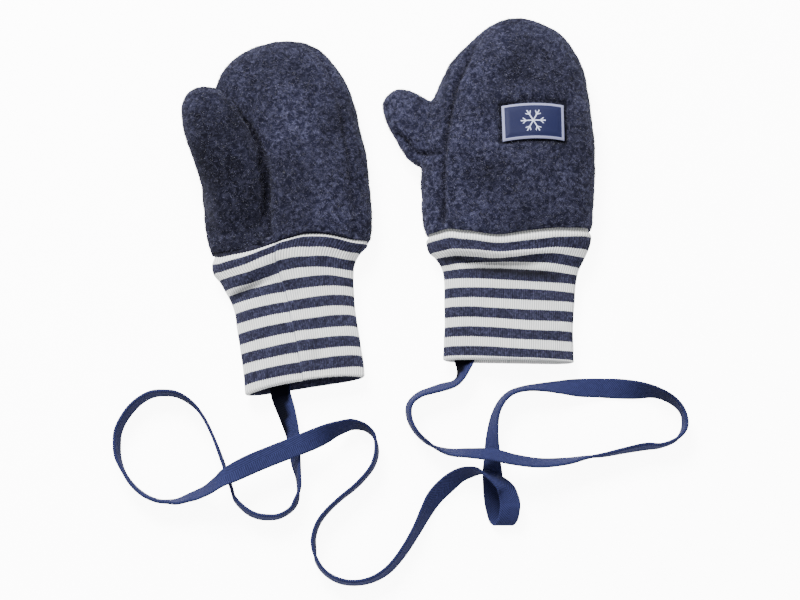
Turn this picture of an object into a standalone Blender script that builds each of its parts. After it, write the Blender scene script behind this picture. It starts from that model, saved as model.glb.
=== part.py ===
"""A pair of baby mittens laid out with the link tape that joins their cuffs.

Blender 4.5, metres, +Z up, the mittens resting on z = 0. Every form is a loft through flattened rings: a
row of a table gives one ring by its two side points and its heights. A cloth piece is a patch of such a form
with a wall thickness, so each cut piece is a closed solid with the neighbouring pieces a seam gap away.
"""
import bmesh
import bpy
import numpy as np

MM = 0.001
ORIGIN = (-6.0, 48.2)  # the part's own origin in the plan of the tables, mm
FLEECE = 2.6  # wall of the felted wool fleece
RIB = 1.9  # wall of the doubled rib
GAP = 0.3  # clearance between two pieces along a seam
VALLEY = 0.8  # how far a seam pulls the fleece in
TURN = 10.0  # degrees between two lengthwise lines of a form
TAPE_WIDTH, TAPE_THICK = 10.0, 1.0
LABEL_THICK = 0.6
PLAN_POWER, RISE_POWER = 0.85, 0.9  # how square the rings are across and upwards

# One ring a row, from the joint to the tip. xl yl and xr yr are the ring's side points in plan, top, edge and
# bottom its heights (what lies under z = 0 is pressed flat), and lead is how far its top runs ahead.
RING = ("xl", "yl", "xr", "yr", "top", "edge", "bottom", "lead")
LEFT_JOINT = (-94.4, 20.6, -14.5, 27.4, 19.0, 8.0, -2.0, 4.5)
RIGHT_JOINT = (12.4, 30.8, 96.0, 33.3, 20.0, 8.5, -2.0, -1.5)
LEFT_HAND = [
    LEFT_JOINT,
    (-96.6, 31.7, -13.6, 33.0, 20.5, 8.0, -2.0, 3.0),
    (-98.6, 45.0, -14.3, 46.0, 22.0, 8.0, -2.0, 1.5),
    (-99.6, 58.0, -15.3, 58.0, 22.5, 8.0, -2.0, 0.5),
    (-100.5, 72.0, -16.7, 71.0, 22.5, 8.0, -2.0, 0.0),
    (-100.0, 86.0, -19.7, 86.3, 22.0, 8.0, -2.0, 0.0),
    (-97.9, 99.0, -22.8, 99.3, 21.0, 8.0, -2.0, 0.0),
    (-94.0, 109.5, -27.0, 110.8, 19.8, 8.0, -2.0, 0.0),
    (-89.3, 119.0, -32.5, 120.6, 18.2, 8.0, -1.5, 0.0),
    (-82.5, 126.2, -39.5, 127.8, 15.8, 8.0, -0.5, 0.0),
    (-73.6, 130.9, -47.5, 132.4, 13.2, 8.0, 2.4, 0.0),
    (-65.5, 133.4, -54.5, 134.2, 10.8, 8.0, 5.0, 0.0),
    (-60.0, 134.7, -60.0, 134.7, 8.0, 8.0, 8.0, 0.0),
]
RIGHT_HAND = [
    RIGHT_JOINT,
    (11.4, 42.0, 96.8, 42.0, 21.5, 8.5, -2.0, -0.5),
    (10.7, 55.0, 97.7, 55.0, 23.0, 8.5, -2.0, 0.0),
    (10.6, 68.0, 98.0, 68.0, 24.0, 8.5, -2.0, 0.0),
    (11.8, 82.0, 97.9, 82.0, 24.5, 8.5, -2.0, 0.0),
    (14.6, 96.0, 97.1, 96.0, 24.0, 8.5, -2.0, 0.0),
    (18.8, 107.0, 95.9, 107.0, 22.8, 8.5, -2.0, 0.0),
    (23.0, 117.0, 93.8, 117.0, 21.2, 8.5, -2.0, 0.0),
    (28.6, 125.6, 90.6, 125.6, 19.4, 8.5, -1.5, 0.0),
    (35.8, 133.2, 86.2, 133.2, 17.2, 8.5, -0.8, 0.0),
    (42.6, 139.6, 80.0, 139.6, 14.8, 8.5, 0.8, 0.0),
    (48.8, 144.0, 72.0, 143.9, 12.6, 8.5, 3.4, 0.0),
    (54.6, 146.2, 64.8, 146.0, 10.6, 8.5, 6.2, 0.0),
    (59.6, 146.8, 59.6, 146.8, 8.5, 8.5, 8.5, 0.0),
]
LEFT_THUMB = [
    (-91.5, 28.0, -67.5, 28.0, 16.0, 8.5, 5.5, 0.0),
    (-95.8, 41.0, -65.9, 41.0, 21.3, 8.8, 5.5, 0.0),
    (-98.4, 52.0, -66.1, 52.0, 24.3, 11.0, 6.5, 0.0),
    (-100.9, 61.0, -67.0, 61.0, 26.2, 15.8, 9.6, 0.0),
    (-104.0, 70.0, -70.5, 70.5, 27.5, 19.5, 13.2, 0.0),
    (-108.0, 81.0, -74.8, 80.5, 28.0, 19.5, 13.5, 0.0),
    (-109.8, 91.5, -79.5, 90.0, 27.5, 19.5, 13.6, 0.0),
    (-108.2, 99.5, -84.8, 98.5, 26.0, 19.5, 14.2, 0.0),
    (-103.5, 104.4, -91.0, 103.6, 23.4, 19.5, 15.8, 0.0),
    (-97.5, 106.0, -97.5, 106.0, 19.5, 19.5, 19.5, 0.0),
]
RIGHT_THUMB = [
    (21.0, 64.0, 31.0, 96.0, 14.0, 7.0, 1.6, 0.0),
    (12.5, 66.0, 21.0, 99.5, 14.0, 7.0, 1.2, 0.0),
    (5.8, 69.9, 13.6, 103.2, 13.6, 6.7, 0.6, 0.0),
    (1.4, 76.0, 8.6, 106.6, 13.2, 6.5, -0.8, 0.0),
    (-2.8, 83.5, 2.6, 108.9, 12.6, 6.5, -1.5, 0.0),
    (-6.6, 90.2, -2.8, 108.2, 11.4, 6.5, 0.0, 0.0),
    (-8.8, 96.0, -6.8, 105.2, 9.4, 6.5, 3.2, 0.0),
    (-9.3, 100.8, -9.3, 100.8, 6.5, 6.5, 6.5, 0.0),
]
LEFT_CUFF = [
    LEFT_JOINT,
    (-92.9, 11.6, -19.8, 22.6, 17.0, 7.2, -1.8, 3.4),
    (-89.0, 6.6, -22.8, 16.5, 15.0, 6.5, -1.6, 2.6),
    (-85.0, 0.0, -23.6, 8.5, 13.2, 6.0, -1.5, 2.0),
    (-81.9, -7.0, -22.9, -2.5, 12.0, 5.7, -1.5, 1.6),
    (-80.6, -15.0, -21.6, -11.5, 11.5, 5.6, -1.5, 1.6),
    (-78.9, -25.0, -19.8, -22.5, 11.3, 5.6, -1.5, 1.6),
    (-77.3, -37.0, -18.2, -33.0, 11.3, 5.6, -1.5, 1.8),
    (-75.8, -50.0, -17.7, -41.0, 11.5, 5.6, -1.5, 2.2),
]
RIGHT_CUFF = [
    RIGHT_JOINT,
    (13.8, 23.2, 95.0, 25.8, 17.5, 7.4, -1.8, -1.0),
    (17.8, 19.4, 91.8, 19.0, 15.0, 6.5, -1.6, -0.5),
    (21.0, 13.5, 88.6, 12.5, 13.0, 6.0, -1.5, 0.0),
    (22.2, 4.0, 87.0, 4.0, 11.8, 5.6, -1.5, 0.0),
    (22.3, -6.0, 86.3, -6.0, 11.0, 5.4, -1.5, 0.0),
    (22.1, -16.0, 85.8, -16.0, 10.7, 5.3, -1.5, 0.0),
    (21.6, -25.0, 85.7, -25.0, 10.5, 5.3, -1.5, 0.0),
    (21.2, -32.3, 85.9, -33.4, 10.5, 5.3, -1.5, 0.3),
]

# Plan lines where the palm is cut into its palm and its thumb-and-heel piece.
LEFT_HEEL = [
    (-64.6, 5.0), (-64.6, 41.0), (-65.6, 60.8), (-69.6, 73.4),
    (-99.4, 56.3), (-130.0, 45.0), (-130.0, 5.0),
]
LEFT_THUMB_TOP = [
    (-64.7, 54.0), (-65.4, 61.0), (-69.2, 70.5), (-73.4, 80.5), (-78.2, 90.0), (-83.2, 98.5),
    (-89.0, 108.0), (-125.0, 112.0), (-125.0, 40.0),
]
THUMB_SEAM_HEIGHT = 19.5
RIGHT_HEEL = [
    (-40.0, 84.0), (1.0, 79.0), (8.1, 75.3), (20.6, 74.2), (40.0, 72.0),
    (42.0, 45.0), (42.0, 15.0), (-40.0, 15.0),
]

# The palm is pressed down under the thumb that lies on it: the thumb's inner edge in plan as (y, x).
PRESS_EDGE = [
    (20.0, -65.5), (61.0, -67.0), (70.5, -70.5), (80.5, -74.8), (90.0, -79.5), (98.5, -84.8), (106.0, -90.0),
]
PRESS_DEPTH = 9.6

# The label's corners in plan: lower left, lower right, upper right, upper left; its long edges bow upwards.
LABEL_CORNERS = [(51.2, 75.2), (82.1, 76.6), (82.0, 95.2), (50.7, 93.9)]
LABEL_BOW = 1.2

# The tape's way in plan, from inside the left cuff to inside the right one. lift is the height of its lower
# edge, stand the angle of its width from flat, and face the plan direction of its width where it folds over
# itself. A smooth curve runs through the rows.
TAPE = ("x", "y", "lift", "stand", "face")
TAPE_WAY = [
    (-59.5, -36.8, 2.9, 180, None), (-59.0, -42.6, 2.9, 180, None), (-58.7, -49.0, 2.6, 185, None),
    (-55.5, -58.7, 1.2, 209, None), (-52.4, -70.0, 0.3, 230, None), (-51.0, -82.0, 0.1, 242, None),
    (-49.6, -89.8, 0.1, 258, None), (-49.2, -96.2, 0.1, 263, None), (-50.5, -101.8, 0.1, 274, None),
    (-53.1, -106.2, 0.1, 270, None), (-58.3, -109.4, 0.1, 270, None), (-63.4, -110.1, 0.1, 272, None),
    (-69.4, -109.4, 0.1, 274, None), (-74.9, -106.6, 0.1, 275, None), (-80.3, -101.1, 0.1, 273, None),
    (-82.4, -95.0, 0.1, 270, None), (-86.4, -83.5, 0.1, 268, None), (-91.7, -70.1, 0.1, 270, None),
    (-97.2, -59.6, 0.1, 268, None), (-102.6, -53.5, 0.1, 270, None), (-109.6, -49.3, 0.1, 272, None),
    (-116.6, -48.4, 0.1, 272, None), (-122.5, -49.2, 0.1, 274, None), (-127.9, -52.2, 0.1, 276, None),
    (-132.4, -56.6, 0.1, 279, None), (-136.1, -62.2, 0.1, 279, None), (-138.3, -67.9, 0.1, 281, None),
    (-138.7, -74.0, 0.1, 281, None), (-137.9, -80.8, 0.1, 279, None), (-134.9, -87.8, 0.1, 272, None),
    (-130.4, -94.2, 0.1, 276, None), (-124.7, -99.1, 0.1, 279, None), (-118.3, -101.9, 0.1, 281, None),
    (-112.8, -102.4, 0.1, 284, None), (-108.0, -102.2, 0.3, 292, None), (-101.2, -99.9, 1.6, 301, None),
    (-94.3, -97.6, 6.2, 306, None), (-87.6, -93.9, 10.5, 318, None), (-81.8, -90.1, 10.9, 342, None),
    (-73.2, -85.4, 10.8, 360, None), (-61.4, -80.4, 10.8, 360, None), (-49.6, -75.8, 10.9, 362, None),
    (-40.1, -71.8, 9.2, 382, None), (-30.8, -67.1, 4.4, 417, None), (-24.0, -64.6, 1.2, 430, None),
    (-19.0, -65.0, 0.3, 440, None), (-15.5, -66.7, 0.1, 446, None), (-12.6, -70.0, 0.1, 450, None),
    (-11.4, -75.9, 0.1, 455, None), (-12.2, -81.6, 0.1, 455, None), (-14.9, -87.2, 0.1, 452, None),
    (-21.4, -94.5, 0.1, 451, None), (-29.0, -100.8, 0.1, 449, None), (-35.1, -106.6, 0.1, 450, None),
    (-39.5, -112.5, 0.1, 452, None), (-41.7, -118.9, 0.1, 454, None), (-41.8, -124.5, 0.1, 456, None),
    (-40.3, -131.1, 0.1, 447, None), (-36.0, -137.0, 0.1, 447, None), (-29.4, -140.8, 0.1, 446, None),
    (-21.7, -141.9, 0.1, 447, None), (-13.6, -140.3, 0.1, 444, None), (-5.9, -135.7, 0.1, 439, None),
    (1.1, -127.6, 0.1, 435, None), (7.8, -116.7, 0.1, 429, None), (12.3, -107.9, 0.1, 417, None),
    (16.8, -100.2, 0.4, 403, None), (23.1, -93.8, 0.8, 399, None), (29.1, -89.5, 1.2, 414, None),
    (34.7, -87.9, 1.6, 430, None), (39.0, -87.8, 2.0, 450, None), (41.8, -88.6, 2.6, 472, None),
    (45.6, -90.8, 3.6, 485, None), (50.0, -94.7, 5.0, 502, None), (52.5, -98.9, 6.4, 528, 0),
    (53.5, -103.7, 7.0, 540, 0), (53.1, -108.2, 6.3, 540, 0), (52.2, -111.6, 4.8, 540, 0),
    (50.4, -113.3, 2.7, 540, 0), (48.4, -111.4, 0.7, 540, 0), (46.9, -106.1, 0.1, 540, 0),
    (45.8, -98.9, 0.1, 540, None), (45.4, -90.1, 0.1, 532, None), (45.1, -83.5, 0.1, 507, None),
    (45.1, -76.7, 0.1, 495, None), (45.3, -68.9, 0.1, 482, None), (46.8, -59.6, 0.1, 470, None),
    (50.1, -52.7, 0.1, 468, None), (54.7, -48.4, 0.1, 469, None), (60.9, -46.3, 0.1, 471, None),
    (68.8, -45.5, 0.1, 480, None), (79.0, -45.3, 0.1, 501, None), (89.0, -45.2, 0.1, 526, None),
    (101.4, -45.2, 0.1, 540, None), (115.0, -46.4, 0.1, 574, None), (125.4, -47.9, 0.1, 608, None),
    (133.6, -51.7, 0.1, 621, None), (138.9, -57.6, 0.1, 628, None), (139.7, -65.5, 0.1, 622, None),
    (135.7, -71.4, 0.1, 627, None), (128.0, -74.7, 0.1, 628, None), (120.3, -75.2, 0.1, 636, None),
    (110.6, -77.0, 0.1, 632, None), (100.1, -79.3, 0.4, 626, None), (91.2, -80.7, 1.2, 618, None),
    (81.2, -82.8, 2.6, 605, None), (68.3, -84.1, 5.6, 596, None), (56.0, -83.0, 8.2, 590, None),
    (44.8, -80.6, 9.0, 585, None), (33.5, -79.4, 6.6, 595, None), (23.4, -77.9, 2.2, 606, None),
    (14.7, -74.0, 0.1, 624, None), (8.2, -68.1, 0.1, 630, None), (4.7, -61.1, 0.1, 637, None),
    (4.8, -54.2, 0.1, 646, None), (9.3, -49.5, 0.1, 652, None), (15.0, -47.3, 0.1, 656, None),
    (21.2, -45.4, 0.1, 660, None), (26.6, -43.8, 0.1, 655, None), (29.9, -40.6, 0.3, 654, None),
    (31.5, -35.9, 1.2, 674, None), (31.9, -31.9, 3.0, 708, None), (31.7, -26.5, 3.25, 718, None),
    (31.6, -20.4, 3.35, 720, None),
]

COLOURS = {
    "fleece": (0.036, 0.038, 0.085, 1.0),
    "rib": (0.60, 0.60, 0.59, 1.0),
    "tape": (0.030, 0.050, 0.150, 1.0),
    "label": (0.025, 0.045, 0.140, 1.0),
}


def clear_scene():
    """Remove every object that is there at the start."""
    for thing in list(bpy.data.objects):
        bpy.data.objects.remove(thing, do_unlink=True)


def collection(name, hidden=False):
    """A new collection of the scene."""
    made = bpy.data.collections.new(name)
    bpy.context.scene.collection.children.link(made)
    made.hide_render = hidden
    return made


def material(name, colour, roughness=0.9):
    """A Principled material of one colour."""
    made = bpy.data.materials.new(name)
    made.use_nodes = True
    shader = made.node_tree.nodes["Principled BSDF"]
    shader.inputs["Base Color"].default_value = colour
    shader.inputs["Roughness"].default_value = roughness
    made.diffuse_color = colour
    return made


def smoothstep(value):
    """0 below 0, 1 above 1 and a smooth rise between them."""
    t = np.clip(value, 0.0, 1.0)
    return t * t * (3.0 - 2.0 * t)


def between_rows(table, at):
    """The table's rows at the row numbers in at, by a Catmull-Rom curve through all the rows."""
    rows = np.array(table, float)
    ends = np.vstack([2 * rows[0] - rows[1], rows, 2 * rows[-1] - rows[-2]])
    first = np.clip(np.floor(at).astype(int), 0, len(rows) - 2)
    t = (at - first)[:, None]
    a, b, c, d = (ends[first + k] for k in range(4))
    return 0.5 * (2 * b + (c - a) * t + (2 * a - 5 * b + 4 * c - d) * t**2 + (3 * b - a - 3 * c + d) * t**3)


def signed_power(value, power):
    """The power of the value's size, with the value's sign."""
    return np.sign(value) * np.abs(value) ** power


def press(x, y):
    """How far in mm the left palm is pressed down under the thumb."""
    ys, xs = np.array(PRESS_EDGE).T
    inside = smoothstep((np.interp(y, ys, xs) + 9.0 - x) / 14.0)
    along = smoothstep((y - 24.0) / 24.0) * (1.0 - smoothstep((y - 98.0) / 22.0))
    return PRESS_DEPTH * inside * along


def form(table, turns, at, floor=0.0, pressed=False):
    """Points in mm of a ring form: one row for each row number in at, one column for each angle in turns."""
    xl, yl, xr, yr, top, edge, bottom, lead = (c[:, None] for c in between_rows(table, at).T)
    angle = np.radians(np.asarray(turns, float))[None, :]
    across, up = signed_power(np.cos(angle), PLAN_POWER), np.abs(np.sin(angle)) ** RISE_POWER
    above = np.sin(angle) > 0
    x = (xl + xr) / 2 + (xr - xl) / 2 * across
    y = (yl + yr) / 2 + (yr - yl) / 2 * across + lead * np.where(above, up**2, 0.0)
    drop = press(x, y) if pressed else 0.0
    z = edge + np.where(above, top - edge - drop, bottom - edge) * up
    return np.stack([x, y, np.maximum(z, floor)], axis=-1)


def inset(table, depth):
    """The table of a form drawn in all round by depth: each side point moves square to its side's line."""
    rows = np.array(table, float)
    across = rows[:, 2:4] - rows[:, :2]
    across /= np.maximum(np.linalg.norm(across, axis=-1, keepdims=True), 0.001)
    sides = []
    for first, inward in ((0, across), (2, -across)):
        line = np.gradient(rows[:, first:first + 2], axis=0)
        square = np.stack([line[:, 1], -line[:, 0]], axis=-1)
        square *= np.sign(np.sum(square * inward, axis=-1, keepdims=True))
        if table[-1][0] == table[-1][2]:
            square[-1] = (rows[-2, :2] + rows[-2, 2:4]) / 2 - rows[-1, :2]
        sides.append(square / np.linalg.norm(square, axis=-1, keepdims=True))
    share = np.sum((sides[0] - sides[1]) * across, axis=-1) / 2
    rows[:, :2] += depth * sides[0]
    rows[:, 2:4] += depth * sides[1]
    rows[:, 4] = np.maximum(rows[:, 4] - depth * share, rows[:, 5])
    rows[:, 6] = np.minimum(rows[:, 6] + depth * share, rows[:, 5])
    return rows


def new_object(name, points, faces, into):
    """A mesh object from points in mm of the tables' plan, moved to the part's origin and facing outwards."""
    mesh = bpy.data.meshes.new(name)
    moved = (np.asarray(points) - np.array([ORIGIN[0], ORIGIN[1], 0.0])) * MM
    mesh.from_pydata(moved.tolist(), [], [list(map(int, f)) for f in faces])
    work = bmesh.new()
    work.from_mesh(mesh)
    bmesh.ops.recalc_face_normals(work, faces=work.faces)
    work.to_mesh(mesh)
    work.free()
    made = bpy.data.objects.new(name, mesh)
    into.objects.link(made)
    return made


def skin_faces(rows, columns, tipped, closed):
    """Quads of a grid of points, with triangles to one shared point where the last row is a tip."""
    grid = np.arange(rows * columns).reshape(rows, columns)
    if tipped:
        grid[-1] = grid[-1, 0]
    if closed:
        grid = np.hstack([grid, grid[:, :1]])
    a, b, c, d = grid[:-1, :-1], grid[:-1, 1:], grid[1:, 1:], grid[1:, :-1]
    quads = np.stack([a, b, c, d], axis=-1).reshape(-1, 4)
    return [q[:3] if q[2] == q[3] else q for q in quads], grid


def wall(name, outer, inner, into, tipped=False, closed=False):
    """A closed solid between two skins of the same grid."""
    rows, columns = outer.shape[:2]
    faces, grid = skin_faces(rows, columns, tipped, closed)
    under = rows * columns
    solid = list(faces) + [np.array(f)[::-1] + under for f in faces]
    rims = [grid[0]] + ([] if tipped else [grid[-1]]) + ([] if closed else [grid[:, 0], grid[:, -1]])
    for rim in rims:
        solid += [(a, b, b + under, a + under) for a, b in zip(rim[:-1], rim[1:]) if a != b]
    points = np.vstack([outer.reshape(-1, 3), inner.reshape(-1, 3)])
    used = np.unique(np.concatenate([np.ravel(f) for f in solid]))
    number = {int(old): new for new, old in enumerate(used)}
    return new_object(name, points[used], [[number[int(i)] for i in f] for f in solid], into)


def closed_form(name, table, depth, steps, into, pressed=False):
    """A filled solid of a ring form drawn in by depth, with a cap over its first ring."""
    turns, at = np.arange(0.0, 360.0, TURN), np.linspace(0, len(table) - 1, steps)
    skin = form(inset(table, depth), turns, at, depth, pressed)
    skin[0, :, 1] -= 2.0
    faces, grid = skin_faces(len(at), len(turns), True, True)
    faces = list(faces) + [(b, a, skin.shape[0] * skin.shape[1]) for a, b in zip(grid[0, :-1], grid[0, 1:])]
    points = np.vstack([skin.reshape(-1, 3), skin[:1].mean(axis=1)])
    used = np.unique(np.concatenate([np.ravel(f) for f in faces]))
    number = {int(old): new for new, old in enumerate(used)}
    return new_object(name, points[used], [[number[int(i)] for i in f] for f in faces], into)


def panel(name, table, first, last, steps, into, pressed=False):
    """A cut piece of the hand between two seam lines at the angles first and last, closed at the tip."""
    turns, at = np.arange(first, last + 0.1, TURN), np.linspace(0, len(table) - 1, steps)
    outer = form(table, turns, at, 0.0, pressed)
    inner = form(inset(table, FLEECE), turns, at, FLEECE, pressed)
    for edge in (0, -1):
        outer[:, edge] += VALLEY / FLEECE * (inner[:, edge] - outer[:, edge])
    for skin in (outer, inner):
        for edge, beside in ((0, 1), (-1, -2)):
            away = skin[:-1, beside] - skin[:-1, edge]
            skin[:-1, edge] += GAP / 2 * away / np.linalg.norm(away, axis=-1, keepdims=True)
        inward = skin[-2, len(turns) // 2] - skin[-1, 0]
        skin[-1] += GAP / 2 * inward / np.linalg.norm(inward)
        skin[0, :, 1] += GAP / 2
    return wall(name, outer, inner, into, tipped=True)


def cuff(name, table, steps, into):
    """The rib tube from the joint to the hem."""
    turns, at = np.arange(0.0, 360.0, TURN), np.linspace(0, len(table) - 1, steps)
    outer = form(table, turns, at)
    inner = form(inset(table, RIB), turns, at, RIB)
    inner[[0, -1], :, 1] = outer[[0, -1], :, 1]
    outer[0, :, 1] -= GAP / 2
    inner[0, :, 1] -= GAP / 2
    return wall(name, outer, inner, into, closed=True)


def prism(name, outline, low, high, grow, into):
    """An upright block over a plan outline, grown sideways by grow."""
    plan = np.array(outline, float)
    before, after = np.roll(plan, 1, axis=0), np.roll(plan, -1, axis=0)
    turn = np.sum(plan[:, 0] * after[:, 1] - after[:, 0] * plan[:, 1])

    def side(start, end):
        way = end - start
        right = np.stack([way[:, 1], -way[:, 0]], axis=-1) * np.sign(turn)
        return right / np.linalg.norm(right, axis=-1, keepdims=True)

    one, two = side(before, plan), side(plan, after)
    plan = plan + grow * (one + two) / (1.0 + np.sum(one * two, axis=-1, keepdims=True))
    count = len(plan)
    points = [(x, y, z) for z in (low, high) for x, y in plan]
    faces = [list(range(count)), list(range(count, 2 * count))]
    faces += [(i, (i + 1) % count, (i + 1) % count + count, i + count) for i in range(count)]
    return new_object(name, points, faces, into)


def boolean(thing, cutter, operation):
    """Apply one exact Boolean to thing."""
    step = thing.modifiers.new(operation.lower(), "BOOLEAN")
    step.operation, step.solver, step.object = operation, "EXACT", cutter
    bpy.context.view_layer.update()
    shape = bpy.context.evaluated_depsgraph_get()
    result = bpy.data.meshes.new_from_object(thing.evaluated_get(shape))
    thing.modifiers.clear()
    old, thing.data = thing.data, result
    bpy.data.meshes.remove(old)


def copy_of(thing, name, into):
    """A second object with the same shape."""
    made = bpy.data.objects.new(name, thing.data.copy())
    into.objects.link(made)
    return made


def tidy(thing):
    """Dissolve what a Boolean leaves in flat faces and merge points that coincide."""
    work = bmesh.new()
    work.from_mesh(thing.data)
    bmesh.ops.remove_doubles(work, verts=work.verts, dist=0.00005)
    bmesh.ops.dissolve_degenerate(work, edges=work.edges, dist=0.00002)
    bmesh.ops.triangulate(work, faces=[f for f in work.faces if len(f.verts) > 4])
    bmesh.ops.recalc_face_normals(work, faces=work.faces)
    work.to_mesh(thing.data)
    work.free()


def hand(side, table, thumb_table, palm_from, back_from, heel, thumb_top, steps, parts, cutters):
    """The three fleece pieces of one mitten: back, palm and thumb-and-heel."""
    pressed = side == "left"
    back = panel(f"{side}_back", table, back_from, back_from + 180.0, steps, parts, pressed)
    palm = panel(f"{side}_palm", table, palm_from, palm_from + 180.0, steps, parts, pressed)
    thumb = closed_form(f"{side}_thumb_outside", thumb_table, 0.0, 15, cutters)
    hollow = closed_form(f"{side}_thumb_hollow", thumb_table, FLEECE, 15, cutters)
    filling = closed_form(f"{side}_hand_filling", table, FLEECE / 2, steps, cutters, pressed)
    boolean(thumb, filling, "DIFFERENCE")
    boolean(palm, thumb, "UNION")
    boolean(palm, hollow, "DIFFERENCE")
    near = prism(f"{side}_heel_cut", heel, -20.0, 60.0, 0.0, cutters)
    wide = prism(f"{side}_heel_cut_wide", heel, -20.0, 60.0, GAP, cutters)
    if thumb_top:
        for block, grow in ((near, 0.0), (wide, GAP)):
            top = prism(f"{block.name}_top", thumb_top, THUMB_SEAM_HEIGHT - grow, 50.0, grow, cutters)
            boolean(block, top, "UNION")
    thumb_heel = copy_of(palm, f"{side}_thumb_heel", parts)
    boolean(thumb_heel, near, "INTERSECT")
    boolean(palm, wide, "DIFFERENCE")
    for thing in (palm, thumb_heel):
        tidy(thing)
    return back, palm, thumb_heel


def height_on(table, x, y):
    """The height in mm of a form's upper side over a plan point, for rings whose sides are level in plan."""
    rows = np.linspace(0, len(table) - 1, 400)
    xl, yl, xr, yr, top, edge, _, _ = between_rows(table, rows).T
    rising = np.argmax(yl)
    at = np.interp(y, yl[:rising], rows[:rising])
    xl, xr, top, edge = (np.interp(at, rows, c) for c in (xl, xr, top, edge))
    share = np.abs((x - (xl + xr) / 2) / ((xr - xl) / 2)) ** (1.0 / PLAN_POWER)
    return edge + (top - edge) * np.sqrt(1.0 - share**2) ** RISE_POWER


def label(name, table, into):
    """A thin patch that follows the back of the hand."""
    s, t = np.meshgrid(np.linspace(0, 1, 11), np.linspace(0, 1, 7))
    low_left, low_right, up_right, up_left = (np.array(c) for c in LABEL_CORNERS)
    s, t = s[..., None], t[..., None]
    plan = (1 - t) * ((1 - s) * low_left + s * low_right) + t * ((1 - s) * up_left + s * up_right)
    plan[..., 1] += LABEL_BOW * (1.0 - (2.0 * s[..., 0] - 1.0) ** 2)
    low = np.dstack([plan, height_on(table, plan[..., 0], plan[..., 1]) + GAP])
    return wall(name, low + [0.0, 0.0, LABEL_THICK], low, into)


def tape_rings(steps):
    """Centres of the tape's rings and the directions of its width and thickness, steps rings to a row.

    The width leans out of the plan by the row's angle, 90 when the tape stands on its edge; at a fold it
    keeps to the x direction.
    """
    count = len(TAPE_WAY)
    at = np.linspace(0, count - 1, (count - 1) * steps + 1)
    x, y, lift, stand = between_rows([row[:4] for row in TAPE_WAY], at).T
    folded = np.interp(at, np.arange(count), [row[4] is not None for row in TAPE_WAY])[:, None]
    lean, lift = np.radians(stand), np.maximum(lift, 0.1)
    z = lift + TAPE_WIDTH / 2 * np.abs(np.sin(lean)) + TAPE_THICK / 2 * np.abs(np.cos(lean))
    way = np.stack([x, y, z], axis=-1)
    ahead = np.gradient(way, axis=0)
    square = np.stack([-ahead[:, 1], ahead[:, 0]], axis=-1)
    square /= np.linalg.norm(square, axis=-1, keepdims=True)
    square = (1.0 - folded) * square + folded * np.sign(square[:, :1] + 0.001) * [[1.0, 0.0]]
    square /= np.linalg.norm(square, axis=-1, keepdims=True)
    width = np.column_stack([square * np.cos(lean)[:, None], np.sin(lean)])
    turned = np.sign(np.sum(width[1:] * width[:-1], axis=-1))
    width[1:] *= np.cumprod(np.where(turned < 0, -1.0, 1.0))[:, None]
    ahead -= folded * np.sum(ahead * width, axis=-1, keepdims=True) * width
    ahead /= np.linalg.norm(ahead, axis=-1, keepdims=True)
    width -= np.sum(width * ahead, axis=-1, keepdims=True) * ahead
    width /= np.linalg.norm(width, axis=-1, keepdims=True)
    thick = np.cross(ahead, width)
    way[:, 2] = lift + TAPE_WIDTH / 2 * np.abs(width[:, 2]) + TAPE_THICK / 2 * np.abs(thick[:, 2])
    return way, width, thick


def tape(name, into):
    """The link tape: a flat strip whose width turns from lying to standing along its way."""
    way, width, thick = tape_rings(2)
    corners = [(1, 1), (-1, 1), (-1, -1), (1, -1)]
    rings = [way + a * TAPE_WIDTH / 2 * width + b * TAPE_THICK / 2 * thick for a, b in corners]
    faces, grid = skin_faces(len(way), 4, False, True)
    faces = list(faces) + [grid[0, :-1][::-1], grid[-1, :-1]]
    return new_object(name, np.stack(rings, axis=1).reshape(-1, 3), faces, into)


def dress(things, cloth):
    """Give the pieces their own material, named after the piece."""
    for thing in things:
        thing.data.materials.clear()
        thing.data.materials.append(material(f"{thing.name}_{cloth}", COLOURS[cloth]))


def main():
    clear_scene()
    parts, cutters = collection("baby_mittens"), collection("cutters", hidden=True)
    fleece = hand("left", LEFT_HAND, LEFT_THUMB, 40.0, 220.0, LEFT_HEEL, LEFT_THUMB_TOP, 19, parts, cutters)
    fleece += hand("right", RIGHT_HAND, RIGHT_THUMB, 140.0, -40.0, RIGHT_HEEL, None, 20, parts, cutters)
    ribs = (cuff("left_cuff", LEFT_CUFF, 11, parts), cuff("right_cuff", RIGHT_CUFF, 11, parts))
    dress(fleece, "fleece")
    dress(ribs, "rib")
    dress([label("right_label", RIGHT_HAND, parts)], "label")
    dress([tape("link_tape", parts)], "tape")
    for block in cutters.objects:
        block.hide_render = True
        block.display_type = "WIRE"


main()
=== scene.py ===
# %% [markdown]
# # A pair of baby mittens on a link tape
# The object is a pair of boiled-wool mittens for a baby. Each has a back, a palm with a thumb, and a long
# cuff of fine striped rib, and a narrow woven tape joins the two cuffs so that neither mitten gets lost.
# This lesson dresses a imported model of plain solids. Every piece below is a surface worked out with numpy
# from the same short tables as the solids, only on a much finer grid, and then gets a woollen, knitted or
# woven finish from shader nodes.

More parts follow.
